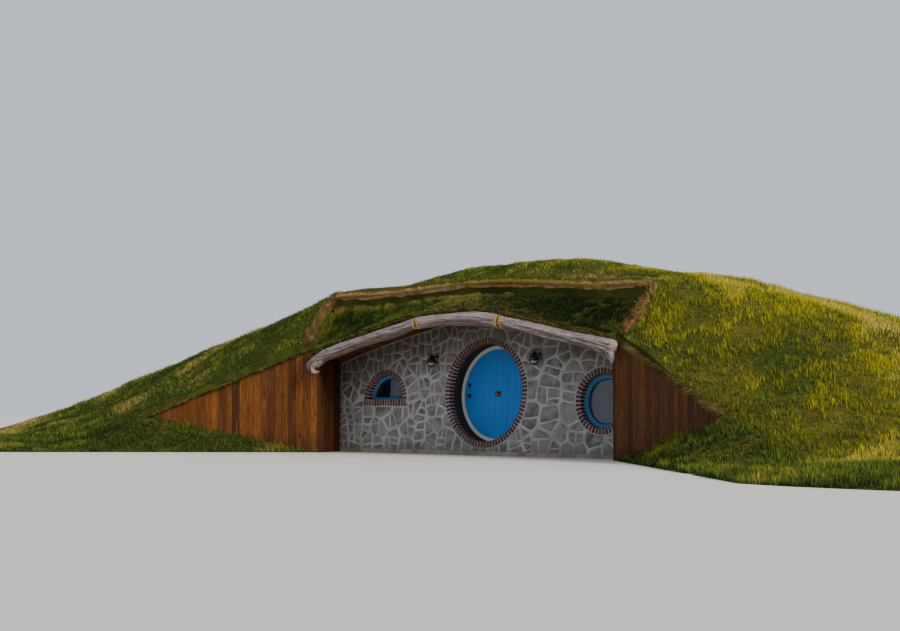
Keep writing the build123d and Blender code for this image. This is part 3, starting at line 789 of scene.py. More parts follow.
# %% [markdown]
# Under the arched window the same bricks stand side by side in a straight row, and stick out a
# little further to throw off the rain. They are blocks in a bed of mortar, made like the ring
# but along a line.
# %% Brick sill
def sill(count=16):
    stock = Stock()
    left, right = ARCH_X - ARCH_R - RING, ARCH_X + ARCH_R + RING
    pitch = (right - left) / count
    for i in range(count):
        x = left + pitch * (i + 0.5) + rng.uniform(-0.001, 0.001)
        front = -0.036 + rng.uniform(-0.002, 0.002)
        corner = [[[tipped(x + s * pitch * BRICK_HALF, up, d) for s in (-1, 1)]
                   for up in (ARCH_Z - 0.117, ARCH_Z - 0.002)] for d in (front, 0.09)]
        chamfered(stock, corner, WORN, tone=rng.random())
    bed = [[[tipped(x, up, d) for x in (left, right)] for up in (ARCH_Z - 0.119, ARCH_Z - 0.003)]
           for d in (-0.026, 0.099)]
    chamfered(stock, bed, 0.003, finish=1)
    stock.lay("arched_window_brick_sill", "house", "brick", [dark_brick, pale_mortar],
              ["arched_window_sill"])


sill()

# %% [markdown]
# ## Painted wood
# The door, both window frames and the ring round the door are painted wood. Paint hides most of
# the grain but not its relief, so the colour varies little while a fine bump runs along the
# boards. A few worn spots show lighter, chalky paint, dirt sits in the grain, and the top of
# the door is darker, because the deep reveal and the eave keep it in the shade.
# %% Paint finishes
def painted(name, colour, worn, dirt, rough=0.5, along=(24, 24, 1.6)):
    """Paint of a colour with its worn and dirty shades; along stretches the wood's grain."""
    p = Paint(name)
    tone = p.mark("tone")
    grain = p.grain(7, 5, 0.6, stretch=along)
    fade = p.grain(2.2, 4)
    shade = p.mix(fade.step(0.3, 0.7) * 0.5, colour, worn)
    shade = p.mix(tone * 0.16, shade, tuple(v * 0.6 for v in colour))
    shade = p.mix(grain.step(0.60, 0.78) * 0.25, shade, dirt)
    scuffs = p.grain(38, 3, 0.7).step(0.66, 0.74)
    shade = p.mix(scuffs * 0.3, shade, worn)
    # painted shade: the paint darkens towards the top, where the eave shades it
    shaded_top = p.axis(2).step(1.15, 2.0)
    shade = p.mix(shaded_top * 0.58, shade, tuple(v * 0.55 for v in colour))
    return p.finish(shade, rough + grain * 0.25, [(grain, 0.0022), (scuffs, 0.0006)], gloss=0.3)


blue_boards = painted("azure_door_paint", (0.006, 0.185, 0.58), (0.012, 0.24, 0.68), (0.006, 0.09, 0.26))
blue_sash = painted("azure_sash_paint", (0.018, 0.155, 0.40), (0.05, 0.26, 0.52),
                    (0.02, 0.07, 0.14), along=(10, 10, 10))
cream_ring = painted("cream_frame_paint", (0.62, 0.60, 0.55), (0.74, 0.72, 0.68),
                     (0.25, 0.23, 0.18), 0.55, (10, 10, 10))
charcoal = painted("charcoal_lining_paint", (0.016, 0.018, 0.018), (0.035, 0.037, 0.036),
                   (0.05, 0.045, 0.035), 0.6, (8, 8, 8))

# %% [markdown]
# ## Round doorway
# Behind the bricks runs a dark lining, and at its end stands the pale ring that the door closes
# against. Both are turned like a bowl: a profile of radius and depth goes round the centre,
# with its arrises softened, which a plain tube would not have. The ring is a little narrower
# than its solid, as the photograph showed.
# %% Lining and door frame
def doorway():
    lining, ring = Stock(), Stock()
    turned(lining, 0, DOOR_Z, [(0.8602, 0.1), (0.8602, 0.399), (0.884, 0.399), (0.884, 0.1)],
           count=160, soft=True)
    lining.lay("doorway_lining", "house", "dark_lining", [charcoal], ["door_lining"])
    profile = [(0.8598, 0.300), (0.804, 0.300), (0.8008, 0.3012), (0.800, 0.305), (0.800, 0.331),
               (0.803, 0.334), (0.820, 0.334), (0.820, 0.398), (0.8598, 0.398)]
    turned(ring, 0, DOOR_Z, profile, count=192)
    ring.lay("doorway_ring", "house", "cream_paint", [cream_ring], ["door_frame"])


doorway()

# %% [markdown]
# ## Door leaf
# The leaf is a disc of upright boards, eleven across, with a narrow groove at each joint. A disc
# with painted lines would lose the grooves in a close view, so each board is cut to the circle
# with its own chamfered edges, and two ledgers cross the back.
# %% Door leaf
LEAF_R, LEAF_FRONT, BOARDS_BACK, LEAF_BACK = 0.812, 0.342, 0.377, 0.402


def slice_outline(x0, x1, radius, steps=14):
    """Outline of the part of a disc between two upright lines, as a closed loop."""
    xs = [x0 + (x1 - x0) * i / steps for i in range(steps + 1)]
    rise = [math.sqrt(max(radius * radius - x * x, 1e-6)) for x in xs]
    return list(zip(xs, rise)) + [(x, -h) for x, h in zip(xs, rise)][::-1]


def door_boards(stock, boards=11, margin=0.001, groove=0.0045):
    """Upright boards cut to the circle of the door, each with a chamfered front."""
    width = 2 * (LEAF_R - margin) / boards
    for i in range(boards):
        x0 = -LEAF_R + margin + width * i
        x1 = x0 + width
        loops = []
        for pull, depth in ((groove, LEAF_FRONT), (0.0006, LEAF_FRONT + 0.004), (0.0006, BOARDS_BACK)):
            outline = slice_outline(x0 + pull, x1 - pull, LEAF_R - pull * 0.5)
            loops.append([tipped(x, DOOR_Z + up, depth) for x, up in outline])
        skin(stock, loops, caps=True, tone=rng.random())


def door_ledger(stock, z, half_height=0.085, short=0.06):
    """Board across the inside of the door, at a height from its centre."""
    loops = []
    for pull, depth in ((0.0, BOARDS_BACK), (0.0, LEAF_BACK - 0.005), (0.005, LEAF_BACK)):
        half = half_height - pull
        edge = [math.sqrt((LEAF_R - short - pull) ** 2 - (z + h) ** 2) for h in (-half, 0, half)]
        outline = [(-edge[0], -half), (edge[0], -half), (edge[1], 0), (edge[2], half),
                   (-edge[2], half), (-edge[1], 0)]
        loops.append([tipped(x, DOOR_Z + z + up, depth) for x, up in outline])
    skin(stock, loops, caps=True, tone=rng.random())


def door_leaf():
    stock = Stock()
    door_boards(stock)
    for z in (-0.33, 0.33):
        door_ledger(stock, z)
    stock.lay("door_boards", "door", "blue_paint", [blue_boards], ["door_leaf"])


door_leaf()

# %% [markdown]
# ## Iron and brass
# Knob, locks, hinges and lanterns are small but catch the eye. Black iron is not flat black: it
# has soft dents, and rust has left a trace of brown that is rougher than the rest. The knob is
# brass that has gone dull, brighter where hands polish it. Hinge straps and brackets keep the
# shape of their solids and only take the finish.
# %% Metal finishes
def iron_finish():
    p = Paint("black_iron")
    dents = p.grain(60, 3)
    rust = p.grain(25, 4, 0.7).step(0.58, 0.72)
    colour = p.mix(rust * 0.45, (0.012, 0.012, 0.013), (0.07, 0.030, 0.014))
    return p.finish(colour, 0.42 + rust * 0.35, [(dents, 0.0012)], Metallic=0.65)


def brass_finish():
    p = Paint("dull_brass")
    stain = p.grain(35, 4, 0.6)
    colour = p.mix(stain.step(0.35, 0.6), (0.26, 0.17, 0.06), (0.07, 0.045, 0.02))
    return p.finish(colour, 0.30 + stain * 0.25, [(stain, 0.0006)], Metallic=1.0)


black_iron, dull_brass = iron_finish(), brass_finish()
coat(black_iron, "door_hinge_straps", "hinge_brackets")

# %% [markdown]
# The knob sits in the middle of the door, and near its left edge are two square plates, one
# with a deadbolt and one with a lever. Each is turned or rounded from a short profile in
# millimetre steps: plain cylinders would show as such as soon as light runs along them.
# %% Knob, deadbolt and handle
def plate(stock, x, up, width=0.05, height=0.072, thick=0.016, corner=0.010):
    """Flat plate on the door, with round corners and a softened front edge."""
    loops = []
    front = LEAF_FRONT - thick
    for pull, depth in ((0.003, front), (0.0, front + 0.003), (0.0, LEAF_FRONT)):
        loop = []
        for sx, sz, first in ((1, 1, 0), (-1, 1, 90), (-1, -1, 180), (1, -1, 270)):
            for a in range(0, 91, 15):
                turn = math.radians(first + a)
                reach = corner - pull
                loop.append(tipped(x + sx * (width / 2 - corner) + reach * math.cos(turn),
                                   up + sz * (height / 2 - corner) + reach * math.sin(turn), depth))
        loops.append(loop)
    skin(stock, loops, caps=True)


def round_piece(stock, x, up, profile, front=0.0, count=36):
    """Turned piece that stands out of a face: profile is (radius, rise) from foot to tip."""
    loops = [[polar(x, up, r, 2 * math.pi * i / count, front - rise) for i in range(count)]
             for r, rise in profile]
    skin(stock, loops, caps=True, soft=True)


def furniture():
    knob, bolt, handle = Stock(), Stock(), Stock()
    round_piece(knob, 0, DOOR_Z, [(0.055, 0), (0.055, 0.004), (0.051, 0.008), (0.022, 0.010),
                                  (0.016, 0.014), (0.015, 0.028), (0.024, 0.033), (0.040, 0.037),
                                  (0.045, 0.045), (0.043, 0.054), (0.034, 0.060), (0.018, 0.062),
                                  (0.002, 0.0622)], LEAF_FRONT)
    knob.lay("centre_knob", "door", "brass", [dull_brass], ["door_knob"])
    x, bolt_z, handle_z = -0.705, DOOR_Z + 0.16, DOOR_Z - 0.03
    plate(bolt, x, bolt_z)
    round_piece(bolt, x, bolt_z, [(0.019, 0.010), (0.019, 0.031), (0.016, 0.034), (0.010, 0.034)],
                LEAF_FRONT)
    bolt.lay("deadbolt", "door", "black_iron", [black_iron], ["door_deadbolt"])
    plate(handle, x, handle_z)
    round_piece(handle, x, handle_z, [(0.010, 0.010), (0.010, 0.050), (0.008, 0.055)], LEAF_FRONT)
    grip = [(-0.010, 0.0095), (0.0, 0.010), (0.03, 0.009), (0.07, 0.0085), (0.10, 0.0095),
            (0.109, 0.0085), (0.111, 0.004)]
    turns = [2 * math.pi * i / 20 for i in range(20)]
    loops = [[tipped(x + along, handle_z + r * math.cos(a), LEAF_FRONT - 0.055 + r * math.sin(a))
              for a in turns] for along, r in grip]
    skin(handle, loops, caps=True, soft=True)
    handle.lay("lever_handle", "door", "black_iron", [black_iron], ["door_handle"])


furniture()

# %% [markdown]
# ## Windows
# The panes are thin and dusty, and look dark because the room behind them is. A true glass
# shader would need many more samples to come out clean, so a dark, glossy finish that lets a
# little through stands in for it, with a faint wave in its surface.
# %% Glass
def glass_finish(name, clear, dusty):
    p = Paint(name)
    dust = p.grain(5, 4, 0.6)
    colour = p.mix(dust.step(0.4, 0.8) * 0.5, clear, dusty)
    return p.finish(colour, 0.04 + dust * 0.05, [(p.grain(2.5, 2), 0.004)], Alpha=0.72, gloss=0.9)


dusty_pane = glass_finish("dusty_pane", (0.055, 0.062, 0.072), (0.14, 0.14, 0.14))
dark_pane = glass_finish("dark_pane", (0.012, 0.012, 0.011), (0.05, 0.048, 0.042))
coat(dusty_pane, "round_window_glass")
coat(dark_pane, "arched_window_glass")

# %% [markdown]
# Blue frames sit well back in the wall. The round one is turned, and the arched one follows a
# D: a half circle closed by a rail, so its profile is set inwards from the outline ring by
# ring. A dark bead holds each pane, and an upright bar, in front of and behind the glass,
# halves the arched one. The round sash is a little wider than its solid, as the photograph
# shows.
# %% Window frames
def d_loop(inset, depth, count=40):
    """Outline of the arched window, set in by inset, as points on the leaning front."""
    radius, low = ARCH_R - inset, inset
    first = math.asin(min(1, low / radius))
    arc = [first + (math.pi - 2 * first) * i / count for i in range(count + 1)]
    points = [(radius * math.cos(a), radius * math.sin(a)) for a in arc]
    width = points[0][0]
    points += [(-width + 2 * width * i / 12, low) for i in range(1, 12)]
    return [tipped(ARCH_X + x, ARCH_Z + up, depth) for x, up in points]


def sash_and_bead(inner):
    """Profiles as radius and depth, for a sash whose pane has the radius inner."""
    step = [(0.012, 0.100), (0.008, 0.103), (0.004, 0.122), (0.0005, 0.126), (0.0, 0.134), (0.0, 0.170)]
    bead = [(0.0012, 0.119), (0.0012, 0.1335), (-0.010, 0.1335), (-0.011, 0.131), (-0.004, 0.120)]
    return ([(0.4498, 0.170), (0.4498, 0.104), (0.446, 0.100)] + [(inner + r, d) for r, d in step],
            [(inner + r, d) for r, d in bead])


def window_frames():
    stock = Stock()
    sash, bead = sash_and_bead(0.378)
    turned(stock, ROUND_X, ROUND_Z, sash, count=120)
    turned(stock, ROUND_X, ROUND_Z, bead, count=120, finish=1)
    stock.lay("round_window_sash", "house", "blue_paint", [blue_sash, charcoal], ["round_window_frame"])
    stock = Stock()
    sash, bead = sash_and_bead(0.400)
    skin(stock, [d_loop(max(ROUND_R - r - 0.0002, 0.0002), d) for r, d in sash], along=True)
    skin(stock, [d_loop(ROUND_R - r, d) for r, d in bead], along=True, finish=1)
    for front, back in ((0.1435, 0.169), (0.128, 0.1345)):
        bar = [[[tipped(ARCH_X + s * 0.012, ARCH_Z + up, d) for s in (-1, 1)]
                for up in (0.05, 0.392)] for d in (front, back)]
        chamfered(stock, bar, 0.002)
    stock.lay("arched_window_sash", "house", "blue_paint", [blue_sash, charcoal], ["arched_window_frame"])


window_frames()

# %% [markdown]
# ## Lanterns
# A round iron cage hangs from an arm on each side of the door. Bars bent by hand have thickness
# all round, so a flat strip won't do: every bar is a circle swept along a path of points. Cap,
# cup and band are turned, like everything round on this house, but about the upright axis and
# not about the axis of the leaning wall.
# %% Bars and turned parts
def tube(stock, path, radius, sides=8):
    """Round bar along a path of points."""
    loops, side = [], None
    for i, point in enumerate(path):
        ahead = (path[min(i + 1, len(path) - 1)] - path[max(i - 1, 0)]).normalized()
        side = ahead.orthogonal() if side is None else side
        side = (side - ahead * side.dot(ahead)).normalized()
        other = ahead.cross(side)
        loops.append([point + (side * math.cos(a) + other * math.sin(a)) * radius
                      for a in (2 * math.pi * n / sides for n in range(sides))])
    skin(stock, loops, caps=True, soft=True)


def lathe_up(stock, centre, profile, count=28):
    """Turns a profile of (radius, height) about an upright axis."""
    turns = [2 * math.pi * n / count for n in range(count)]
    loops = [[centre + Vector((r * math.cos(a), r * math.sin(a), h)) for a in turns] for r, h in profile]
    skin(stock, loops, caps=True, soft=True)


LANTERN_X, LANTERN_Z, LANTERN_OUT = 1.22, 1.655, 0.15
print("lanterns hang at", [tuple(round(v, 3) for v in tipped(x, LANTERN_Z, -LANTERN_OUT))
                           for x in (-LANTERN_X, LANTERN_X)])


# %% [markdown]
# Ten bars, a band, a cap with two loops and a cup with a small point make the cage, and a
# rosette and an arm hold it. The globe in it is dark above and pale below, a painted reflection
# read from the bright lower half in the photograph, and has a little soot on it.
# %% Lanterns
def globe_finish():
    p = Paint("lantern_globe")
    soot = p.grain(20, 4)
    height = p.axis(2)
    painted_low_reflection = 1 - height.step(1.628, 1.648)
    colour = p.mix(soot.step(0.4, 0.7), (0.03, 0.03, 0.03), (0.08, 0.078, 0.07))
    # painted reflection: the lower half of the globe is made pale
    colour = p.mix(painted_low_reflection * 0.85, colour, (0.62, 0.60, 0.55))
    return p.finish(colour, 0.08 + soot * 0.1, [(soot, 0.001)], Alpha=0.9, gloss=0.8)


lantern_globe = globe_finish()


def cage(stock, centre, radius=0.088, bars=10):
    """Bent bars, a band round the middle, a cap, a cup with its point, and two loops."""
    arc = [math.radians(a) for a in range(-72, 73, 9)]
    for n in range(bars):
        turn = math.pi * 2 * n / bars + 0.2
        path = [centre + Vector((radius * math.cos(a) * math.cos(turn),
                                 radius * math.cos(a) * math.sin(turn), radius * math.sin(a))) for a in arc]
        tube(stock, path, 0.0036)
    lathe_up(stock, centre, [(0.0915, -0.006), (0.0925, 0.0), (0.0915, 0.006), (0.0865, 0.006),
                             (0.0855, 0.0), (0.0865, -0.006)], 40)
    lathe_up(stock, centre, [(0.058, 0.074), (0.062, 0.077), (0.060, 0.082), (0.045, 0.095),
                             (0.026, 0.108), (0.014, 0.122), (0.008, 0.129)])
    lathe_up(stock, centre, [(0.004, -0.112), (0.009, -0.107), (0.005, -0.101), (0.012, -0.096),
                             (0.034, -0.084), (0.041, -0.076), (0.038, -0.073)])
    for side in (-1, 1):
        loop = [centre + Vector((side * (0.016 + 0.010 * math.sin(a)), 0.022 * math.cos(a),
                                 0.1265 + 0.024 * math.sin(a)))
                for a in (math.radians(t) for t in range(-90, 271, 20))]
        tube(stock, loop, 0.0042)


def lantern(name, glass, node, glass_node, x):
    centre = tipped(x, LANTERN_Z, -LANTERN_OUT)
    stock, bulb = Stock(), Stock()
    cage(stock, centre)
    arm = [centre + Vector((0, 0, 0.104)), tipped(x, 1.762, -0.11), tipped(x, 1.768, -0.06),
           tipped(x, 1.757, -0.004)]
    tube(stock, arm, 0.0065, 12)
    round_piece(stock, x, 1.757, [(0.036, 0.001), (0.036, 0.006), (0.030, 0.011), (0.010, 0.014)],
                count=28)
    stock.lay(name, "house", "black_iron", [black_iron], [node])
    ball = [(0.0715 * math.cos(math.radians(a)), 0.0715 * math.sin(math.radians(a)))
            for a in range(-72, 90, 9)]
    lathe_up(bulb, centre, [(0.019, -0.0745), (0.020, -0.069), *ball, (0.002, 0.0715)], 36)
    bulb.lay(glass, "house", "window_glass", [lantern_globe], [glass_node])


lantern("left_door_lantern", "left_lantern_glass", "left_lantern", "left_lantern_globe",
        -LANTERN_X)
lantern("right_door_lantern", "right_lantern_glass", "right_lantern", "right_lantern_globe",
        LANTERN_X)

# %% [markdown]
# ## Log eave
# Three peeled logs follow the curve of the eave. Sun and rain have turned them silver with a
# touch of mauve, and drying has opened thin cracks along them. The noise is stretched along the
# log, so that fibres and cracks run with the grain. A crack is the place where a second noise
# passes through its middle value, which draws a thin line. At the joints the tone stored on the
# mesh turns the silver into the ochre of fresh wood, with a ragged edge, and into a dark crack
# at the very end. The undersides get a painted shade of dark brown.
# %% Weathered log finish
def log_finish():
    p = Paint("silvered_log")
    tone = p.mark("tone")
    fibres = p.grain(11, 6, 0.68, stretch=(0.32, 7, 7), twist=0.35)
    fine = p.grain(60, 4, 0.6, stretch=(0.25, 4, 4))
    patches = p.grain(1.9, 4)
    stripe = p.grain(5.5, 2, 0.5, stretch=(0.22, 4.5, 4.5), twist=0.2)
    checks = p.node("ShaderNodeMath", {"operation": "ABSOLUTE"}, {0: stripe - 0.5})
    crack = (1 - checks.step(0.003, 0.013)) * p.grain(2.4, 2).step(0.48, 0.58)
    colour = p.ramp(fibres, [(0.28, (0.080, 0.060, 0.055)), (0.42, (0.225, 0.188, 0.185)),
                             (0.58, (0.365, 0.320, 0.325)), (0.78, (0.56, 0.515, 0.525))])
    colour = p.mix(patches.step(0.46, 0.70) * 0.5, colour, (0.235, 0.170, 0.140))
    colour = p.mix(fine.step(0.58, 0.70) * 0.4, colour, (0.06, 0.044, 0.038))
    colour = p.mix(crack * 0.85, colour, (0.030, 0.021, 0.017))
    facing = p.node("ShaderNodeNewGeometry", output=1)
    facing_up = p.node("ShaderNodeSeparateXYZ", {}, {0: facing}, output=2)
    # painted shade: faces that look downwards turn dark brown
    below = 1 - facing_up.step(-0.75, 0.05)
    colour = p.mix(below * 0.7, colour, (0.105, 0.055, 0.028))
    knots = p.node("ShaderNodeTexVoronoi", {}, {"Vector": p.place((2.6, 4.5, 4.5)), "Scale": 1.0})
    knot = (1 - knots.step(0.05, 0.12)) * p.grain(1.3, 1).step(0.48, 0.56)
    colour = p.mix(knot * 0.85, colour, (0.035, 0.022, 0.018))
    ochre = p.mix(fine.step(0.4, 0.6), (0.60, 0.350, 0.115), (0.36, 0.19, 0.055))
    ragged = tone + (p.grain(7, 3) - 0.5) * 0.5
    colour = p.mix(ragged.step(0.40, 0.60), colour, ochre)
    colour = p.mix(tone.step(0.90, 0.96) * 0.9, colour, (0.02, 0.010, 0.005))
    return p.finish(colour, 0.86, [(fibres, 0.016), (1 - crack, 0.014), (fine, 0.002)], gloss=0.2)


silvered_log = log_finish()


# %% [markdown]
# A log drawn as a tube would be as even as a pipe. Here its middle line and its thickness come
# from a table that was measured along the photograph, and every loop of the skin is pushed in
# and out by three noises: a slow swell, furrows that run along the log, and a few deep splits.
# %% Log bodies
# x, height of the middle, and thickness
spine = [(-3.56, 1.596, 0.030), (-3.50, 1.620, 0.090), (-3.38, 1.668, 0.160), (-3.24, 1.728, 0.190),
         (-3.04, 1.808, 0.226), (-2.86, 1.850, 0.234), (-2.29, 1.980, 0.206), (-1.73, 2.098, 0.208),
         (-1.18, 2.212, 0.200), (-0.74, 2.300, 0.186), (-0.60, 2.318, 0.212), (0.0, 2.360, 0.214),
         (0.72, 2.354, 0.238), (1.24, 2.292, 0.226), (1.40, 2.262, 0.208), (1.75, 2.184, 0.204),
         (2.40, 2.044, 0.204), (3.04, 1.912, 0.212), (3.50, 1.812, 0.238), (3.75, 1.760, 0.262)]


def on_spine(x, column):
    """Height (column 1) or thickness (column 2) of the logs at x."""
    return float(np.interp(x, [row[0] for row in spine], [row[column] for row in spine]))


def log_loop(x, shrink, seed, sides=60):
    """One ring of points round a log at x, roughened with furrows and splits."""
    height = (on_spine(x - 0.06, 1) + on_spine(x, 1) + on_spine(x + 0.06, 1)) / 3
    slope = (on_spine(x + 0.05, 1) - on_spine(x - 0.05, 1)) / 0.1
    up = Vector((-slope, 0, 1)).normalized()
    centre = Vector((x, LOG_Y, height))
    loop = []
    for i in range(sides):
        a = 2 * math.pi * i / sides
        around = Vector((x * 0.9 + seed, math.cos(a) * 1.5, math.sin(a) * 1.5))
        swell = noise.noise(around * 1.4) * 0.026
        furrow = noise.noise(Vector((x * 1.1, math.cos(a) * 6 + seed, math.sin(a) * 6))) * 0.011
        line = abs(noise.noise(Vector((x * 0.55 + seed * 3, a * 2.1, 4.0))) + 0.02 * math.sin(x * 9))
        split = max(0.0, 1 - line * 16) * (0.5 + noise.noise(Vector((x * 1.3, seed, 8))))
        radius = on_spine(x, 2) / 2 * shrink + (swell + furrow - 0.034 * max(split, 0)) * shrink
        loop.append(centre + up * (math.sin(a) * radius) + Vector((0, math.cos(a) * radius, 0)))
    return loop


def log_body(stock, x0, x1, seed, cut_left, cut_right, step=0.02):
    """Skin of a log, with its ends marked where the joint was cut back to fresh wood."""
    count = int((x1 - x0) / step)
    xs = [x0 + (x1 - x0) * i / count for i in range(count + 1)]
    loops = [log_loop(x, 1.0, seed) for x in xs]
    rows, first = len(loops[0]), len(stock.points)
    skin(stock, loops, soft=True)
    for i, x in enumerate(xs):
        fresh = max(1 - (x - x0) / 0.085 if cut_left else 0, 1 - (x1 - x) / 0.125 if cut_right else 0, 0)
        for n in range(rows):
            lower = 1.35 - 0.65 * math.sin(2 * math.pi * n / rows)
            stock.tones[first + i * rows + n] = 1.0 if fresh > 0.99 else min(0.86, fresh * lower)


def log_end(stock, x, seed, direction, tone, depth=0.022):
    """Rounds over the end of a log with shrinking rings."""
    loops = []
    for t in (0.0, 0.5, 0.95, 1.3, 1.5):
        ring = log_loop(x, math.cos(t), seed)
        loops.append([point + Vector((direction * depth * math.sin(t), 0, 0)) for point in ring])
    skin(stock, loops, soft=True, tone=tone)
    last, count = loops[-1], len(loops[-1])
    hub = sum(last, Vector()) / count
    stock.add([*last, hub], [(i, (i + 1) % count, count) for i in range(count)], tone=tone, soft=True)


print("logs, metres:", spine[0][0], "to", spine[-1][0], "and at most", max(row[2] for row in spine), "thick")


# %% [markdown]
# The outer ends are the gnarled butts of the trees. On the left the log runs out into a tongue
# with curled roots under it, and on the right it flares and droops into a claw. Each root is a
# bent, tapering bar: a smooth curve is led through a few points, and the loops along it get the
# same kind of furrows as the log.
# %% Root ends
def bent(path, radii, steps):
    """Smooth path through a few points, with a radius for each step."""
    control = [Vector(p) for p in path]
    points, sizes = [], []
    for i in range(steps + 1):
        t = i / steps * (len(control) - 1)
        k = min(int(t), len(control) - 2)
        f = t - k
        p0, p1 = control[max(k - 1, 0)], control[k]
        p2, p3 = control[k + 1], control[min(k + 2, len(control) - 1)]
        points.append(0.5 * (2 * p1 + (p2 - p0) * f + (2 * p0 - 5 * p1 + 4 * p2 - p3) * f * f
                             + (3 * p1 - p0 - 3 * p2 + p3) * f ** 3))
        sizes.append(radii[k] + (radii[k + 1] - radii[k]) * f)
    return points, sizes


def gnarled(stock, path, radii, seed, sides=24, steps=28, tone=0.0):
    """Root that bends and tapers along a path, with furrows."""
    points, sizes = bent(path, radii, steps)
    side, loops = None, []
    for i, point in enumerate(points):
        ahead = (points[min(i + 1, steps)] - points[max(i - 1, 0)]).normalized()
        side = ahead.orthogonal() if side is None else side
        side = (side - ahead * side.dot(ahead)).normalized()
        other = ahead.cross(side)
        ring = []
        for n in range(sides):
            a = 2 * math.pi * n / sides
            out = side * math.cos(a) + other * math.sin(a)
            rough = noise.noise(Vector((i * 0.16, math.cos(a) * 2.5 + seed, math.sin(a) * 2.5))) * 0.38
            ring.append(point + out * sizes[i] * (1 + rough))
        loops.append(ring)
    skin(stock, loops, caps=True, soft=True, tone=tone)


# %% [markdown]
# Now the logs can be laid. Each has a body, two rounded ends and, if it is an outer one, its
# roots. The joints between them stay open by a few millimetres, and the ends there get the tone
# that the finish turns into fresh wood.
# %% The three logs
def log(name, node, x0, x1, seed, cut_left, cut_right, left_end, right_end, roots=()):
    """A log with its ends rounded over, and its roots; an end is its tone and its depth."""
    stock = Stock()
    log_body(stock, x0, x1, seed, cut_left, cut_right)
    log_end(stock, x0, seed, -1, *left_end)
    log_end(stock, x1, seed, 1, *right_end)
    for path, radii, root_seed, steps, tone in roots:
        gnarled(stock, [(x, LOG_Y + out, z) for x, out, z in path], radii, root_seed,
                steps=steps, tone=tone)
    stock.lay(name, "house", "weathered_log", [silvered_log], [node])


# Each root: points as x, way outwards and height, a radius for each, seed, steps and tone
tongue = [([(-3.18, 0, 1.69), (-3.31, -0.03, 1.615), (-3.345, -0.05, 1.545), (-3.30, -0.07, 1.490),
            (-3.22, -0.07, 1.478), (-3.165, -0.07, 1.500)],
           [0.078, 0.066, 0.052, 0.042, 0.030, 0.010], 5.0, 28, 0.42),
          ([(-3.42, 0, 1.655), (-3.475, -0.03, 1.590), (-3.470, -0.05, 1.520)],
           [0.045, 0.026, 0.006], 1.0, 14, 0.0),
          ([(-3.06, -0.02, 1.740), (-3.17, -0.05, 1.640), (-3.19, -0.07, 1.575)],
           [0.060, 0.040, 0.010], 8.0, 14, 0.38)]
claw = [([(3.30, -0.01, 1.84), (3.49, -0.02, 1.775), (3.595, -0.03, 1.680), (3.632, -0.04, 1.585),
          (3.628, -0.05, 1.520)], [0.095, 0.098, 0.066, 0.036, 0.010], 2.0, 28, 0.0)]
log("left_eave_log", "left_log", -3.52, -0.674, 3.0, False, True, (0.0, 0.05), (1.0,), tongue)
log("middle_eave_log", "middle_log", -0.666, 1.266, 11.0, True, True, (1.0,), (1.0,))
log("right_eave_log", "right_log", 1.274, 3.62, 21.0, True, False, (1.0,), (0.2, 0.045), claw)

# %% [markdown]
# ## Stained boards
# Upright cedar boards, about as wide as a hand is long, hold back the turf. Each one took the
# stain differently, from bright orange-brown to almost black, so each has its own tone and,
# through a shift that depends on that tone, its own stretch of grain. Rain has washed paler
# streaks into them, and the feet are dark with damp.
# %% Board finish
def board_finish(name, along, light):
    p = Paint(name)
    tone = p.mark("tone")
    shift = p.spread(tone, 31, 57, 23)
    stretch, knot_stretch = {"z": ((14, 14, 0.9), (5.5, 5.5, 2.4)),
                             "y": ((14, 0.9, 14), (5.5, 2.4, 5.5))}[along]
    rings = p.grain(4.0, 5, 0.62, stretch=stretch, shift=shift, twist=0.9)
    fibres = p.grain(20, 4, 0.6, stretch=stretch, shift=shift)
    base = p.ramp(tone, [(0.0, (0.042, 0.013, 0.0030)), (0.3, (0.090, 0.027, 0.0048)),
                         (0.55, (0.140, 0.044, 0.0065)), (0.8, (0.205, 0.066, 0.0085)),
                         (1.0, (0.30, 0.105, 0.016))])
    colour = p.mix(rings.step(0.38, 0.62) * 0.8, base, (0.042, 0.017, 0.007))
    colour = p.mix(fibres.step(0.55, 0.70) * 0.5, colour, (0.020, 0.009, 0.005))
    streaks = p.grain(2.0, 4, 0.6, stretch=stretch)
    colour = p.mix(streaks.step(0.52, 0.80) * 0.45, colour, light)
    height = p.axis(2)
    wet = (1 - height.step(0.0, 0.55)) * p.grain(5, 4, stretch=(1, 1, 0.3)).step(0.25, 0.7)
    colour = p.mix(wet * 0.6, colour, (0.020, 0.009, 0.005))
    knots = p.node("ShaderNodeTexVoronoi", {}, {"Vector": p.place(knot_stretch, shift), "Scale": 1.0})
    knot = 1 - knots.step(0.05, 0.12)
    colour = p.mix(knot * 0.85, colour, (0.012, 0.005, 0.003))
    return p.finish(colour, 0.75 + fibres * 0.2, [(rings, 0.005), (fibres, 0.0018)], gloss=0.2)


wall_boards = board_finish("stained_cedar", "z", (0.27, 0.130, 0.050))
roof_boards = board_finish("stained_soffit", "y", (0.15, 0.055, 0.016))

# %% [markdown]
# The walls could be one slab with a striped texture. They are real boards with narrow gaps,
# slightly uneven faces and sawn tops, because the row's broken edge shows against the grass. A
# function gives the height at each distance: a slope along the wings, and the curve of the eave
# beside the stone front.
# %% Retaining walls of boards
CORNER, START = Vector((3.5, -0.75, 0)), Vector((3.75, 0, 0))  # ends of the right return wall
WING_TURN = math.radians(25)
WING_RUN = Vector((math.cos(WING_TURN), -math.sin(WING_TURN), 0))
WING_LENGTH, WING_TOP, WING_END = 3.5, 1.96, 0.66              # its height at either end
BOARD_THICK = 0.058


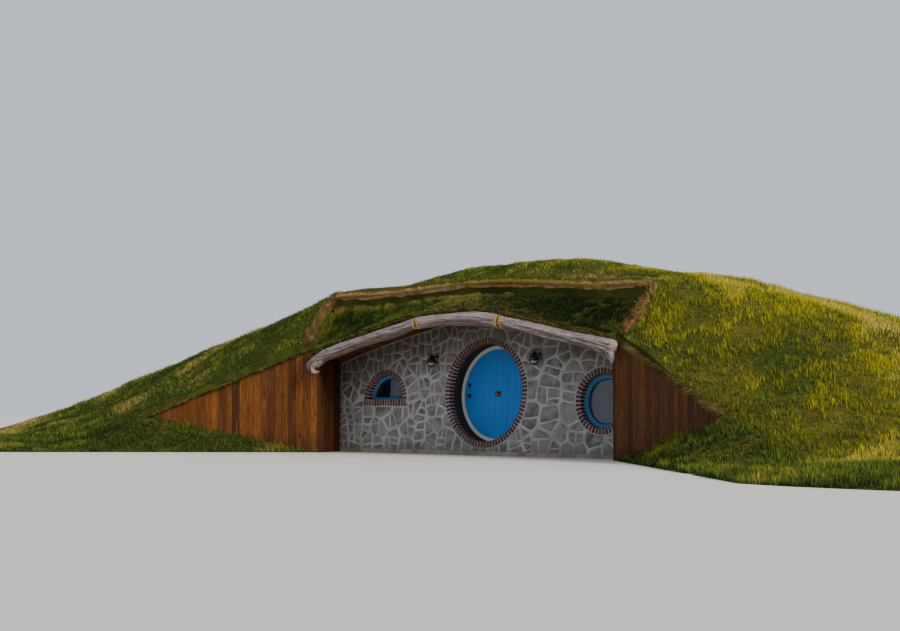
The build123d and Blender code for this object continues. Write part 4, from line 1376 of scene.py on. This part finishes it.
def board_row(stock, side, start, run, length, top, pitch=0.148, shade=0.5):
    """Row of upright boards from start along run, with tops cut to the height top(distance)."""
    count = round(length / pitch)
    pitch = length / count
    back = Vector((-run.y, run.x, 0)) * BOARD_THICK
    for i in range(count):
        near = pitch * i + rng.uniform(0.0015, 0.004)
        far = pitch * (i + 1) - rng.uniform(0.0015, 0.004)
        proud = back * rng.uniform(0.0, 0.06)
        trim = rng.uniform(-0.008, 0.004)
        corner = [[[None, None], [None, None]], [[None, None], [None, None]]]
        for a, s in enumerate((near, far)):
            for b in (0, 1):
                spot = start + run * s + (back if b else proud)
                for c in (0, 1):
                    height = max(top(s) + trim, 0.05) if c else 0.0
                    corner[a][b][c] = (side * spot.x, spot.y, height)
        chamfered(stock, corner, WORN, tone=min(max(rng.gauss(shade, 0.18), 0), 0.9))


def wing_height(s):
    return WING_TOP - (WING_TOP - WING_END) / WING_LENGTH * s


def boarded_walls():
    slide, length = (CORNER - START).normalized(), (CORNER - START).length
    for name, side in (("right", 1), ("left", -1)):
        inner, wing = Stock(), Stock()
        # The return walls take a low mean tone, a painted shade, as they stand in shade beside the stone
        # front.
        board_row(inner, side, CORNER, -slide, length,
                  lambda s: eave(side * (CORNER - slide * s).x) + 0.211, 0.132, 0.15)
        inner.lay(f"{name}_return_boards", "house", "stained_boards", [wall_boards],
                  [f"{name}_return_wall"])
        # The right wing takes a darker mean tone than the left, a painted shade; the left wing's lighter tone
        # is painted light from the low sun on the right.
        board_row(wing, side, CORNER, WING_RUN, WING_LENGTH, wing_height, shade=0.34 if side > 0 else 0.52)
        wing.lay(f"{name}_wing_boards", "house", "stained_boards", [wall_boards],
                 [f"{name}_wing_wall"])


boarded_walls()

# %% [markdown]
# The roof behind the logs is one layer of boards laid front to back over the curve. From
# outside they are the soffit, and through the doorway they are the ceiling. Each board takes
# its height at its own two sides, so that together they follow the curve in small flats, as
# real boards do.
# %% Soffit and ceiling boards
def ceiling():
    stock = Stock()
    pitch, half = 0.118, 3.80
    count = round(2 * half / pitch)
    for i in range(count):
        x0, x1 = -half + pitch * i + 0.001, -half + pitch * (i + 1) - 0.001
        reach = max(abs(x0), abs(x1))
        front = LOG_Y + 0.075 if reach < 3.56 else -0.75 + (reach - 3.56) * 3.0
        back = 0.0 if reach > START.x else 3.499
        if back - front < 0.02:
            continue
        drop = rng.uniform(0.0, 0.002)
        corner = [[[(x, y, eave(x) + 0.212 + drop + (0.046 if up else 0.0)) for up in (0, 1)]
                   for y in (front, back)] for x in (x0, x1)]
        chamfered(stock, corner, 0.003, tone=rng.random() * 0.75)
    stock.lay("soffit_and_ceiling_boards", "house", "stained_boards", [roof_boards],
              ["porch_soffit", "roof_vault"])


ceiling()

# %% [markdown]
# ## Concrete
# The low ledge at the foot of the stones, the room's walls and its floor are plain concrete,
# with clouds, small air holes and stains that run down. These pieces are plain in shape too, so
# the solids stay and only take the finish. The ledge gets a browner mix of the same, for the
# soil on it.
# %% Concrete finish
def concrete_finish(name, dark, light, stain):
    p = Paint(name)
    clouds = p.grain(2.5, 5)
    holes = p.grain(75, 2, 0.4).step(0.70, 0.76)
    runs = p.grain(3, 4, stretch=(4, 4, 0.4))
    colour = p.mix(clouds.step(0.3, 0.7), dark, light)
    colour = p.mix(runs.step(0.5, 0.75) * 0.35, colour, stain)
    colour = p.mix(holes * 0.7, colour, tuple(v * 0.5 for v in stain))
    return p.finish(colour, 0.92, [(clouds, 0.004), (1 - holes, 0.0015)])


plain_concrete = concrete_finish("plain_concrete", (0.30, 0.285, 0.25), (0.42, 0.405, 0.37),
                                 (0.17, 0.15, 0.12))
stained_ledge = concrete_finish("stained_ledge", (0.17, 0.14, 0.09), (0.34, 0.29, 0.20),
                                (0.10, 0.075, 0.045))
coat(plain_concrete, "right_side_wall", "left_side_wall", "back_wall", "floor")
coat(stained_ledge, "footing_ledge")

# %% [markdown]
# ## Turf
# Grass covers the mound, and it is most of what is seen. The soil under it gets a mottled green
# finish, and real blades stand on that: several hundred thousand narrow triangles, which give
# the soft outline and the streaks that no flat texture has. All blades share one finish. Two
# numbers stored on each blade steer it: its tone, from almost black to yellow, and how dry it
# is, which mixes the green with straw.
# %% Turf finishes
def soil_finish():
    p = Paint("turf_floor")
    x = p.axis(0)
    lumps = p.grain(2.6, 5, 0.6)
    mat = p.grain(26, 5, 0.7)
    colour = p.mix(lumps.step(0.35, 0.65), (0.024, 0.040, 0.008), (0.055, 0.072, 0.013))
    colour = p.mix(mat.step(0.45, 0.7) * 0.6, colour, (0.095, 0.080, 0.024))
    sunny = x.step(1.0, 6.0) * p.grain(0.8, 4).step(0.35, 0.65)
    colour = p.mix(sunny * 0.6, colour, (0.16, 0.13, 0.022))
    return p.finish(colour, 0.97, [(lumps, 0.05), (mat, 0.02)], gloss=0.0)


def blade_finish():
    p = Paint("grass_blades")
    tone, dry = p.mark("tone"), p.mark("dry")
    green = p.ramp(tone, [(0.0, (0.003, 0.007, 0.003)), (0.14, (0.013, 0.026, 0.008)),
                          (0.3, (0.044, 0.078, 0.015)), (0.55, (0.115, 0.150, 0.022)),
                          (0.8, (0.29, 0.275, 0.018)), (1.0, (0.56, 0.46, 0.030))])
    straw = p.ramp(tone, [(0.0, (0.11, 0.060, 0.026)), (0.5, (0.40, 0.265, 0.115)),
                          (1.0, (0.68, 0.50, 0.25))])
    colour = p.mix(dry, green, straw)
    return p.finish(colour, 0.85, gloss=0.08)


turf_floor, grass_blades = soil_finish(), blade_finish()
turf_nodes = ["right_mound", "left_mound", "rear_mound", "roof_turf", "scoop_turf", "right_berm", "left_berm"]
coat(turf_floor, *turf_nodes)


# %% [markdown]
# ## Cut edges of the sod
# Along the boards and round the scooped slope over the eave the turf ends in a cut edge, where
# brown sod shows and dead grass hangs over. The lines of those edges come first, because the
# grass planted later has to turn brown and thin out near them. They are given in plan and
# dropped on the turf with a ray from above. Any point that misses the mound is left out.
# %% Edge lines
def tree_of(mesh):
    """A search tree of a mesh, which answers what a ray meets first."""
    return BVHTree.FromPolygons([v.co for v in mesh.vertices], [f.vertices for f in mesh.polygons])


turf_trees = [tree_of(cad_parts[name].data) for name in turf_nodes]


def ground(x, y):
    """Height of the turf at a point, looking down from above."""
    hits = [tree.ray_cast(Vector((x, y, 9)), Vector((0, 0, -1)))[0] for tree in turf_trees]
    return max([hit.z for hit in hits if hit is not None], default=0.0)


def smooth_line(marks, count, least=1.0):
    """Points at even steps through marks given in plan, dropped on the turf over the front."""
    marks = np.array(marks)
    t = np.linspace(0, len(marks) - 1, count)
    xs, ys = (np.interp(t, range(len(marks)), marks[:, n]) for n in (0, 1))
    spots = [Vector((x, y, ground(x, y))) for x, y in zip(xs, ys)]
    return [spot for spot in spots if spot.z > least]


def wing_line(side, marks=60):
    """Line along the tops of the boards of a wing wall."""
    line = []
    for i in range(marks + 1):
        s = (WING_LENGTH + 0.02) * i / marks
        spot = CORNER + WING_RUN * s + Vector((-WING_RUN.y, WING_RUN.x, 0)) * 0.035
        line.append(Vector((side * spot.x, spot.y, wing_height(s) + 0.008)))
    return line


edges = {
    "left_wing": wing_line(-1), "right_wing": wing_line(1),
    "left_scoop": smooth_line([(-3.70, 0.00), (-3.80, -0.10), (-3.83, -0.40), (-3.79, -0.68),
                               (-3.72, -0.86)], 40),
    "right_scoop": smooth_line([(3.70, 0.00), (3.74, -0.20), (3.73, -0.40), (3.69, -0.55),
                                (3.63, -0.74)], 40),
    "rim": smooth_line([(-3.74, -0.05), (-2.7, -0.055), (-1.6, -0.06), (0.1, -0.06), (1.0, -0.06),
                        (1.9, -0.055), (2.8, -0.055), (3.72, -0.03)], 120),
    "eave": [Vector((x, -0.915, on_spine(x, 1) + on_spine(x, 2) / 2 + 0.028))
             for x in np.linspace(-3.40, 3.50, 110)],
}
for name, line in edges.items():
    print(name, "from", [round(v, 2) for v in line[0]], "to", [round(v, 2) for v in line[-1]])


# %% [markdown]
# Where the turf was cut, a thick mat of roots and soil shows. A sharp edge of the solid would
# look like card, so a lumpy roll lies along each line and rounds it. It comes in three kinds:
# dry brown sod at the sides of the scoop, bleached straw along its upper rim, and darker sod over
# the boards and behind the logs.
# %% Sod along the edges
def sod_finish(name, dark, light, straw):
    p = Paint(name)
    crumbs = p.grain(34, 5, 0.7)
    clods = p.grain(7, 4)
    colour = p.mix(clods.step(0.35, 0.65), dark, light)
    colour = p.mix(crumbs.step(0.5, 0.7) * 0.6, colour, straw)
    return p.finish(colour, 0.97, [(clods, 0.03), (crumbs, 0.010)], gloss=0.0)


dry_sod = sod_finish("dry_sod", (0.085, 0.036, 0.014), (0.22, 0.105, 0.043), (0.42, 0.27, 0.14))
straw_sod = sod_finish("straw_sod", (0.20, 0.108, 0.048), (0.42, 0.262, 0.130), (0.58, 0.42, 0.25))
dark_sod = sod_finish("dark_sod", (0.040, 0.024, 0.010), (0.085, 0.052, 0.020), (0.13, 0.095, 0.035))


def sod_roll(name, line, wide, tall, drop, paint, sides=20):
    """Lumpy roll of sod along an edge, thinner at both ends."""
    stock, loops = Stock(), []
    for i, point in enumerate(line):
        ahead = (line[min(i + 1, len(line) - 1)] - line[max(i - 1, 0)]).normalized()
        side = Vector((-ahead.y, ahead.x, 0)).normalized()
        up = side.cross(ahead)
        up = -up if up.z < 0 else up
        taper = min(1.0, 0.1 + i / 6, 0.1 + (len(line) - 1 - i) / 6)
        loop = []
        for n in range(sides):
            a = 2 * math.pi * n / sides
            out = Vector((math.cos(a), math.sin(a), 0))
            clods = noise.noise(point * 3.1 + out * 0.9) * 0.75
            rough = 1 + clods + noise.noise(point * 15 + out * 2.0) * 0.40
            offset = side * (math.cos(a) * wide) + up * (math.sin(a) * tall)
            loop.append(point + offset * rough * taper - up * drop)
        loops.append(loop)
    skin(stock, loops, caps=True, soft=True)
    stock.lay(name, "house", "turf", [paint])


for name in ("left", "right"):
    sod_roll(f"{name}_wing_sod", edges[f"{name}_wing"], 0.038, 0.022, 0.004, dark_sod)
sod_roll("left_scoop_sod", edges["left_scoop"], 0.072, 0.055, 0.008, dry_sod)
sod_roll("right_scoop_sod", edges["right_scoop"], 0.055, 0.055, 0.010, dry_sod)
sod_roll("rim_sod", edges["rim"], 0.040, 0.036, 0.055, straw_sod)
sod_roll("eave_sod", edges["eave"], 0.055, 0.038, 0.004, dark_sod)

# %% [markdown]
# ## Grass
# A smooth random field decides where the tufts and the dry patches lie. A noise texture could
# do that inside a shader, but here Python has to know the values, for many thousands of points
# at once. So the field is a small square of random numbers, repeated over the mound, with a
# soft passage from each number to the next. The rest of the cell measures how close a point is
# to an edge line, and turns a number into a soft step.
# %% Planting
seeded = np.random.default_rng(12)
lattice = seeded.random((64, 64))


def field(x, y, size):
    """Smooth random value from 0 to 1 at each point, with features of about the given size."""
    u, v = x / size + 100, y / size + 100
    i, j = np.floor(u).astype(int), np.floor(v).astype(int)
    fu, fv = u - i, v - j
    fu, fv = fu * fu * (3 - 2 * fu), fv * fv * (3 - 2 * fv)
    a, b = lattice[i % 64, j % 64], lattice[(i + 1) % 64, j % 64]
    c, d = lattice[i % 64, (j + 1) % 64], lattice[(i + 1) % 64, (j + 1) % 64]
    return (a * (1 - fu) + b * fu) * (1 - fv) + (c * (1 - fu) + d * fu) * fv


def gap_to(line, x, y):
    """Distance in plan from each point to the nearest mark of a line."""
    best = np.full(len(x), 9.0)
    for mark in line:
        best = np.minimum(best, np.hypot(x - mark.x, y - mark.y))
    return best


def ramped(value, low, high):
    """0 below low, 1 above high, smooth between."""
    t = np.clip((value - low) / (high - low), 0, 1)
    return t * t * (3 - 2 * t)


print("field at the doorway:", field(np.array([0.0]), np.array([0.0]), 1.0).round(2))


# %% [markdown]
# The solids of the mound are as smooth as a model in clay. Real turf has settled into humps and
# hollows, and low light shows every one. Only the faces that look upwards are split into small
# triangles and lifted by the field, because nobody sees the underside and every triangle costs
# time. Near the edge lines nothing moves. The crest is let down a little, so that the grass on
# it ends where the skyline is.
# %% Humps and hollows
UPWARD = 0.3                                       # least upward part of an upper face's normal
CREST_X = [-4.6, -3.6, -2.9, -2.3, -1.9, -1.1, 0.0, 1.2, 2.0, 2.6, 3.4, 4.4, 6.0]
CREST_DROP = [0.02, 0.11, 0.17, 0.15, 0.11, 0.085, 0.03, 0.04, 0.095, 0.095, 0.07, 0.03, 0.0]


def settled(x, y, z):
    """How far the turf stands above the smooth solid at each point."""
    humps = 0.085 * (field(x, y, 1.2) - 0.5) + 0.045 * (field(x + 31, y + 17, 0.45) - 0.5)
    crest_drop = np.interp(x, CREST_X, CREST_DROP)
    crest_drop = crest_drop * ramped(y, 0.0, 0.55) * (1 - ramped(y, 4.0, 7.0))
    free = ramped(z, 0.03, 0.40)
    for name in ("left_wing", "right_wing", "left_scoop", "right_scoop", "rim"):
        free = np.minimum(free, ramped(gap_to(edges[name], x, y), 0.05, 0.40))
    return (humps - crest_drop) * free


def humped(name, longest=0.25, rounds=9):
    """Copy of a turf solid with its upper faces split and lifted; it takes the solid's place."""
    shape = bmesh.new()
    shape.from_mesh(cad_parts[name].data)
    bmesh.ops.remove_doubles(shape, verts=shape.verts, dist=1e-5)
    bmesh.ops.triangulate(shape, faces=shape.faces)
    for _ in range(rounds):
        shape.normal_update()
        long = [edge for edge in shape.edges if edge.calc_length() > longest
                and any(face.normal.z > UPWARD for face in edge.link_faces)]
        bmesh.ops.subdivide_edges(shape, edges=long, cuts=1)
        bmesh.ops.triangulate(shape, faces=[face for face in shape.faces if len(face.verts) > 3])
    shape.normal_update()
    upper = sorted({v.index for face in shape.faces if face.normal.z > UPWARD for v in face.verts})
    shape.verts.ensure_lookup_table()
    spots = np.array([shape.verts[i].co for i in upper])
    for i, lift in zip(upper, settled(*spots.T)):
        shape.verts[i].co.z += lift
    for face in shape.faces:
        face.smooth = face.normal.z > UPWARD
    mesh = bpy.data.meshes.new(name)
    shape.to_mesh(mesh)
    shape.free()
    settle(mesh, f"{name}_sward", "house", [turf_floor], [name])
    return mesh


sward = {name: humped(name) for name in ("left_mound", "right_mound", "rear_mound", "roof_turf")}

# %% [markdown]
# A hair system would be the usual way to grow grass, but its strands aren't a mesh that can
# leave Blender. So the blades are made as triangles: points are dropped on the upward faces of
# the turf, in proportion to the area of each face, and one narrow triangle goes from each root
# to a tip that leans. Its foot gets a darker tone than its tip, for the shade between the
# blades. One array call writes all the corners at once, because a Python loop over half a
# million blades would take minutes.
# %% Blades
def upward_triangles(names):
    """Corners, area and normal of the triangles of some turf that face upwards."""
    corners = []
    for name in names:
        mesh = sward[name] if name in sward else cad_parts[name].data
        mesh.calc_loop_triangles()
        points = np.array([v.co for v in mesh.vertices])
        corners.append(points[np.array([t.vertices for t in mesh.loop_triangles])])
    corners = np.concatenate(corners)
    normal = np.cross(corners[:, 1] - corners[:, 0], corners[:, 2] - corners[:, 0])
    area = np.linalg.norm(normal, axis=1) / 2
    keep = (normal[:, 2] > 0.12 * 2 * area) & (area > 1e-9) & (corners[:, :, 2].max(1) > 0.01)
    return corners[keep], area[keep], normal[keep] / (2 * area[keep, None])


def store(mesh, name, values):
    """Keeps a number for each corner of the blades, which the finish reads."""
    mark = mesh.attributes.new(name, "FLOAT", "POINT")
    mark.data.foreach_set("value", values.ravel().astype(np.float32))


def blades(name, roots, lean_way, height, width, tone, dry, droop=0.45):
    """One triangle for each blade, from its root to a tip that leans."""
    count = len(roots)
    turn, level = seeded.random(count) * 2 * np.pi, np.zeros(count)
    across = np.stack((np.cos(turn), np.sin(turn), level), 1) * width[:, None] / 2
    lean = np.stack((np.cos(turn + 1.57), np.sin(turn + 1.57), level), 1)
    lean = lean * seeded.normal(0, droop, count)[:, None] + lean_way
    tip = roots + (lean + [0, 0, 1]) * height[:, None]
    points = np.stack((roots - across, roots + across, tip), 1).reshape(-1, 3)
    points[:, 2] = np.maximum(points[:, 2], 0.001)
    mesh = bpy.data.meshes.new(name)
    mesh.vertices.add(count * 3)
    mesh.vertices.foreach_set("co", points.astype(np.float32).ravel())
    mesh.loops.add(count * 3)
    mesh.loops.foreach_set("vertex_index", np.arange(count * 3, dtype=np.int32))
    mesh.polygons.add(count)
    mesh.polygons.foreach_set("loop_start", np.arange(0, count * 3, 3, dtype=np.int32))
    mesh.update(calc_edges=True)
    store(mesh, "tone", np.stack((tone - 0.22, tone - 0.22, tone + 0.16), 1).clip(0, 1))
    store(mesh, "dry", np.repeat(dry, 3))
    settle(mesh, name, "house", [grass_blades])


roof_faces = upward_triangles(["roof_turf"])
print("turf over the roof, square metres:", round(roof_faces[1].sum(), 1))


# %% [markdown]
# Each part of the mound has its own look: cool green on the left, olive to almost black in the
# scooped slope from left to right, yellow-green with straw by the rim on the crest, and bright,
# mottled grass on the right, where the sun reaches. A look is a function from places to tone,
# dryness and length, and it blends into its neighbour's, so that no line shows where two solids
# meet. The low sun of the photograph is in these tones too, as the studio light is softer.
# %% Looks of the grass
def beside(edge, x, y, near, far):
    """1 along an edge of the sod, fading to 0 between two distances from it."""
    return 1 - ramped(gap_to(edges[edge], x, y), near, far)


def flank_left(x, y, z, tuft, patch):
    tone = 0.32 + 0.12 * ramped(z, 1.0, 3.2) + 0.26 * (tuft - 0.5) + 0.26 * (patch - 0.5)
    dry = 0.5 * ramped(patch, 0.80, 1.0) + 0.75 * beside("left_scoop", x, y, 0.06, 0.20)
    return tone, dry, 0.7


def flank_right(x, y, z, tuft, patch):
    sun = ramped(x, 3.0, 11.0) * 0.5 + ramped(z, 0.5, 2.4) * 0.5
    tone = 0.40 + 0.54 * sun + 0.34 * (tuft - 0.5) + 0.42 * (patch - 0.5)
    dry = (0.10 + 0.3 * sun) * ramped(patch, 0.60, 1.0) + 0.7 * beside("right_scoop", x, y, 0.04, 0.22)
    return tone, dry, 1.0


def crest(x, y, z, tuft, patch):
    back, on_right = ramped(y, 0.0, 1.1), ramped(x, 1.0, 2.0)
    tone = 0.36 + 0.14 * back + 0.36 * (tuft - 0.5) + 0.26 * (patch - 0.5)
    dark = np.exp(-((x - 3.1) / 0.5) ** 2 - ((y - 0.55) / 0.28) ** 2)
    ragged = y + 0.25 * (patch - 0.5) + 0.10 * np.cos(x * 0.9)
    straw = 1 - ramped(ragged / (1 + 1.2 * on_right), 0.0, 0.40)
    dry = straw * (0.35 + 0.5 * ramped(np.abs(x + 0.3), 0.4, 1.8)) + 0.12 * ramped(patch, 0.7, 1.0)
    tone, dry = tone - 0.35 * dark, dry * (1 - dark)
    for share, flank in ((ramped(x, 1.2, 3.7), flank_right), (ramped(-x, 1.2, 3.7), flank_left)):
        share = share * ramped(y, 0.2, 1.2)
        other = flank(x, y, z, tuft, patch)
        tone, dry = tone + (other[0] - tone) * share, dry + (other[1] - dry) * share
    tone = tone - 0.03 + 0.08 * straw * on_right
    long = (0.40 + 0.12 * back) * (0.55 + 0.45 * ramped(y, 0.0, 0.45))
    return tone, dry * (0.85 + 0.35 * on_right), long


def slope_over_eave(x, y, z, tuft, patch):
    # painted shadow: shade darkens the slope towards the right, where the right shoulder of the mound shades
    # it
    shade, upper = ramped(x, -0.4, 2.6), ramped(y, -0.27, -0.12)
    tone = 0.25 - 0.30 * shade + 0.44 * (tuft - 0.5) * (1 - 0.6 * shade) + 0.22 * (patch - 0.5) * (1 - shade)
    # painted light just under the rim, where the rim's own shadow falls, and painted shade on an
    # upward-facing patch in the middle
    tone = tone + 0.26 * upper * (1 - 0.7 * shade) - 0.14 * np.exp(-((x + 0.2) / 1.1) ** 2)
    dry = (1 - shade) * 0.26 * ramped(patch, 0.5, 0.9) + 0.5 * ramped(y, -0.20, -0.08) * (1 - 0.6 * shade)
    dry = dry + 0.35 * np.exp(-((x - 1.6) / 0.7) ** 2) * (1 - ramped(y, -0.9, -0.75))
    return tone, dry, 0.7


def bank(x, y, z, tuft, patch):
    tone = 0.27 + 0.10 * ramped(x, 0, 6) + 0.36 * (tuft - 0.5) + 0.24 * (patch - 0.5)
    return tone, 0.3 * ramped(patch, 0.75, 1.0), np.where(x > 0, 1.1, 0.85)


near_rim = crest(*np.array([[0.0], [0.1], [3.1], [0.5], [0.5]]))
print("grass by the middle of the rim, tone and dryness:", [round(float(v[0]), 2) for v in near_rim[:2]])


# %% [markdown]
# Twice as many points as needed are dropped, and those that lie best in a tuft are kept. That
# makes the grass thick in some places and thin in others without a gap in the green. Tufts are
# also taller. The tones come from the look of that part of the mound, with a little chance for
# each blade.
# %% Sowing
def grass(name, nodes, count, look):
    """Sows a count of blades on some turf, thicker and taller in tufts, with the tones of a look."""
    corners, area, normal = upward_triangles(nodes)
    pick = seeded.choice(len(area), count * 2, p=area / area.sum())
    s, t = seeded.random(count * 2), seeded.random(count * 2)
    s, t = np.where(s + t > 1, 1 - s, s), np.where(s + t > 1, 1 - t, t)
    a, b, c = corners[pick, 0], corners[pick, 1], corners[pick, 2]
    roots = a + (b - a) * s[:, None] + (c - a) * t[:, None]
    sizes = ((0.06, 0.30), (0.14, 0.35), (0.38, 0.35))
    tuft = sum(field(roots[:, 0], roots[:, 1], size) * share for size, share in sizes)
    tuft = ramped(tuft, 0.25, 0.75)
    keep = np.argsort(seeded.random(count * 2) - tuft * 0.5)[:count]
    roots, tuft, n = roots[keep], tuft[keep], normal[pick[keep]]
    x, y, z = roots.T
    patch = ramped(field(x + 7, y, 1.5) * 0.55 + field(x, y + 5, 0.6) * 0.45, 0.22, 0.78)
    tone, dry, long = look(x, y, z, tuft, patch)
    tone = tone + seeded.normal(0, 0.12, count)
    dry = np.clip(dry, 0, 1) * (0.35 + 0.65 * seeded.random(count))
    height = (0.040 + 0.070 * tuft) * long * seeded.uniform(0.6, 1.15, count)
    height = np.minimum(height, 0.085 + 0.05 * (z < 3.2))
    blades(name, roots - n * 0.004, n * [0.45, 0.45, 0], height,
           seeded.uniform(0.009, 0.016, count), tone.clip(0, 1), dry)


grass("grass_left", ["left_mound"], 165000, flank_left)
grass("grass_right", ["right_mound"], 165000, flank_right)
grass("grass_roof", ["roof_turf", "rear_mound"], 110000, crest)
grass("grass_scoop", ["scoop_turf"], 45000, slope_over_eave)
grass("grass_banks", ["left_berm", "right_berm"], 60000, bank)


# %% [markdown]
# Along every cut edge last year's grass hangs down. It is made like the rest, but its roots are
# strewn along a line and its blades lean outwards and down. It is mostly straw, brightest on
# the rim of the scoop, with a green stretch in the middle of the rim, and darker and greener
# where it hangs over the boards and behind the logs.
# %% Dead grass over the edges
def dead_grass(name, edge, count, spread, outward, height, drop=0.0, green=0.0, dark=0.0, fresh=None):
    """Dry blades along an edge that lean outward; fresh is the x of a greener stretch."""
    points = np.array([tuple(p) for p in edges[edge]])
    t = seeded.random(count) * (len(points) - 1)
    k = np.minimum(t.astype(int), len(points) - 2)
    f = (t - k)[:, None]
    roots = points[k] * (1 - f) + points[k + 1] * f + seeded.normal(0, 1, (count, 3)) * spread
    roots[:, 2] -= drop
    tuft = field(roots[:, 0] + roots[:, 2], roots[:, 1], 0.11)
    size = height * (0.25 + 1.4 * tuft) * seeded.uniform(0.5, 1.25, count)
    tone = np.clip(0.22 - dark + 0.55 * tuft + seeded.normal(0, 0.18, count), 0, 1)
    if fresh is not None:
        green = green + 0.12 + 0.8 * np.exp(-((roots[:, 0] - fresh) / 1.3) ** 2)
    green = green + 0.5 * ramped(field(roots[:, 0] + 3, roots[:, 1], 0.5), 0.5, 0.9)
    dry = np.clip(1.0 - green * seeded.random(count) * 1.6, 0, 1)
    blades(name, roots, np.array(outward) * np.ones((count, 1)), size,
           seeded.uniform(0.006, 0.011, count), tone, dry, 0.5)


for side, name in ((-1, "left"), (1, "right")):
    dead_grass(f"{name}_wing_dead_grass", f"{name}_wing", 11000, (0.028, 0.028, 0.014),
               (-0.38 * side, -0.85, -1.2), 0.072, green=0.95, dark=0.12)
dead_grass("left_scoop_dead_grass", "left_scoop", 14000, (0.060, 0.03, 0.025),
           (0.20, -0.50, -0.50), 0.062, drop=-0.012, green=0.10, dark=0.10)
dead_grass("right_scoop_dead_grass", "right_scoop", 9000, (0.040, 0.03, 0.025),
           (-0.35, -0.50, -0.60), 0.062, drop=-0.008, green=0.15, dark=0.14)
dead_grass("rim_dead_grass", "rim", 30000, (0.02, 0.040, 0.022),
           (0.15, -0.65, -0.72), 0.078, drop=0.016, green=-0.08, dark=-0.58, fresh=0.5)
dead_grass("eave_dead_grass", "eave", 16000, (0.02, 0.03, 0.02),
           (0, -0.7, -0.6), 0.06, drop=-0.01, green=1.2, dark=0.05)

# %% [markdown]
# ## Sizes
# The dressed house has to stay in the box of the solids, apart from a little grass that stands
# proud. Both boxes are printed at the end.
# %% Sizes and finish
dressed_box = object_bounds()
for name, box in (("solids", cad_box), ("dressed", dressed_box)):
    print(name, "from", [round(c, 3) for c in box[0]], "to", [round(c, 3) for c in box[1]])
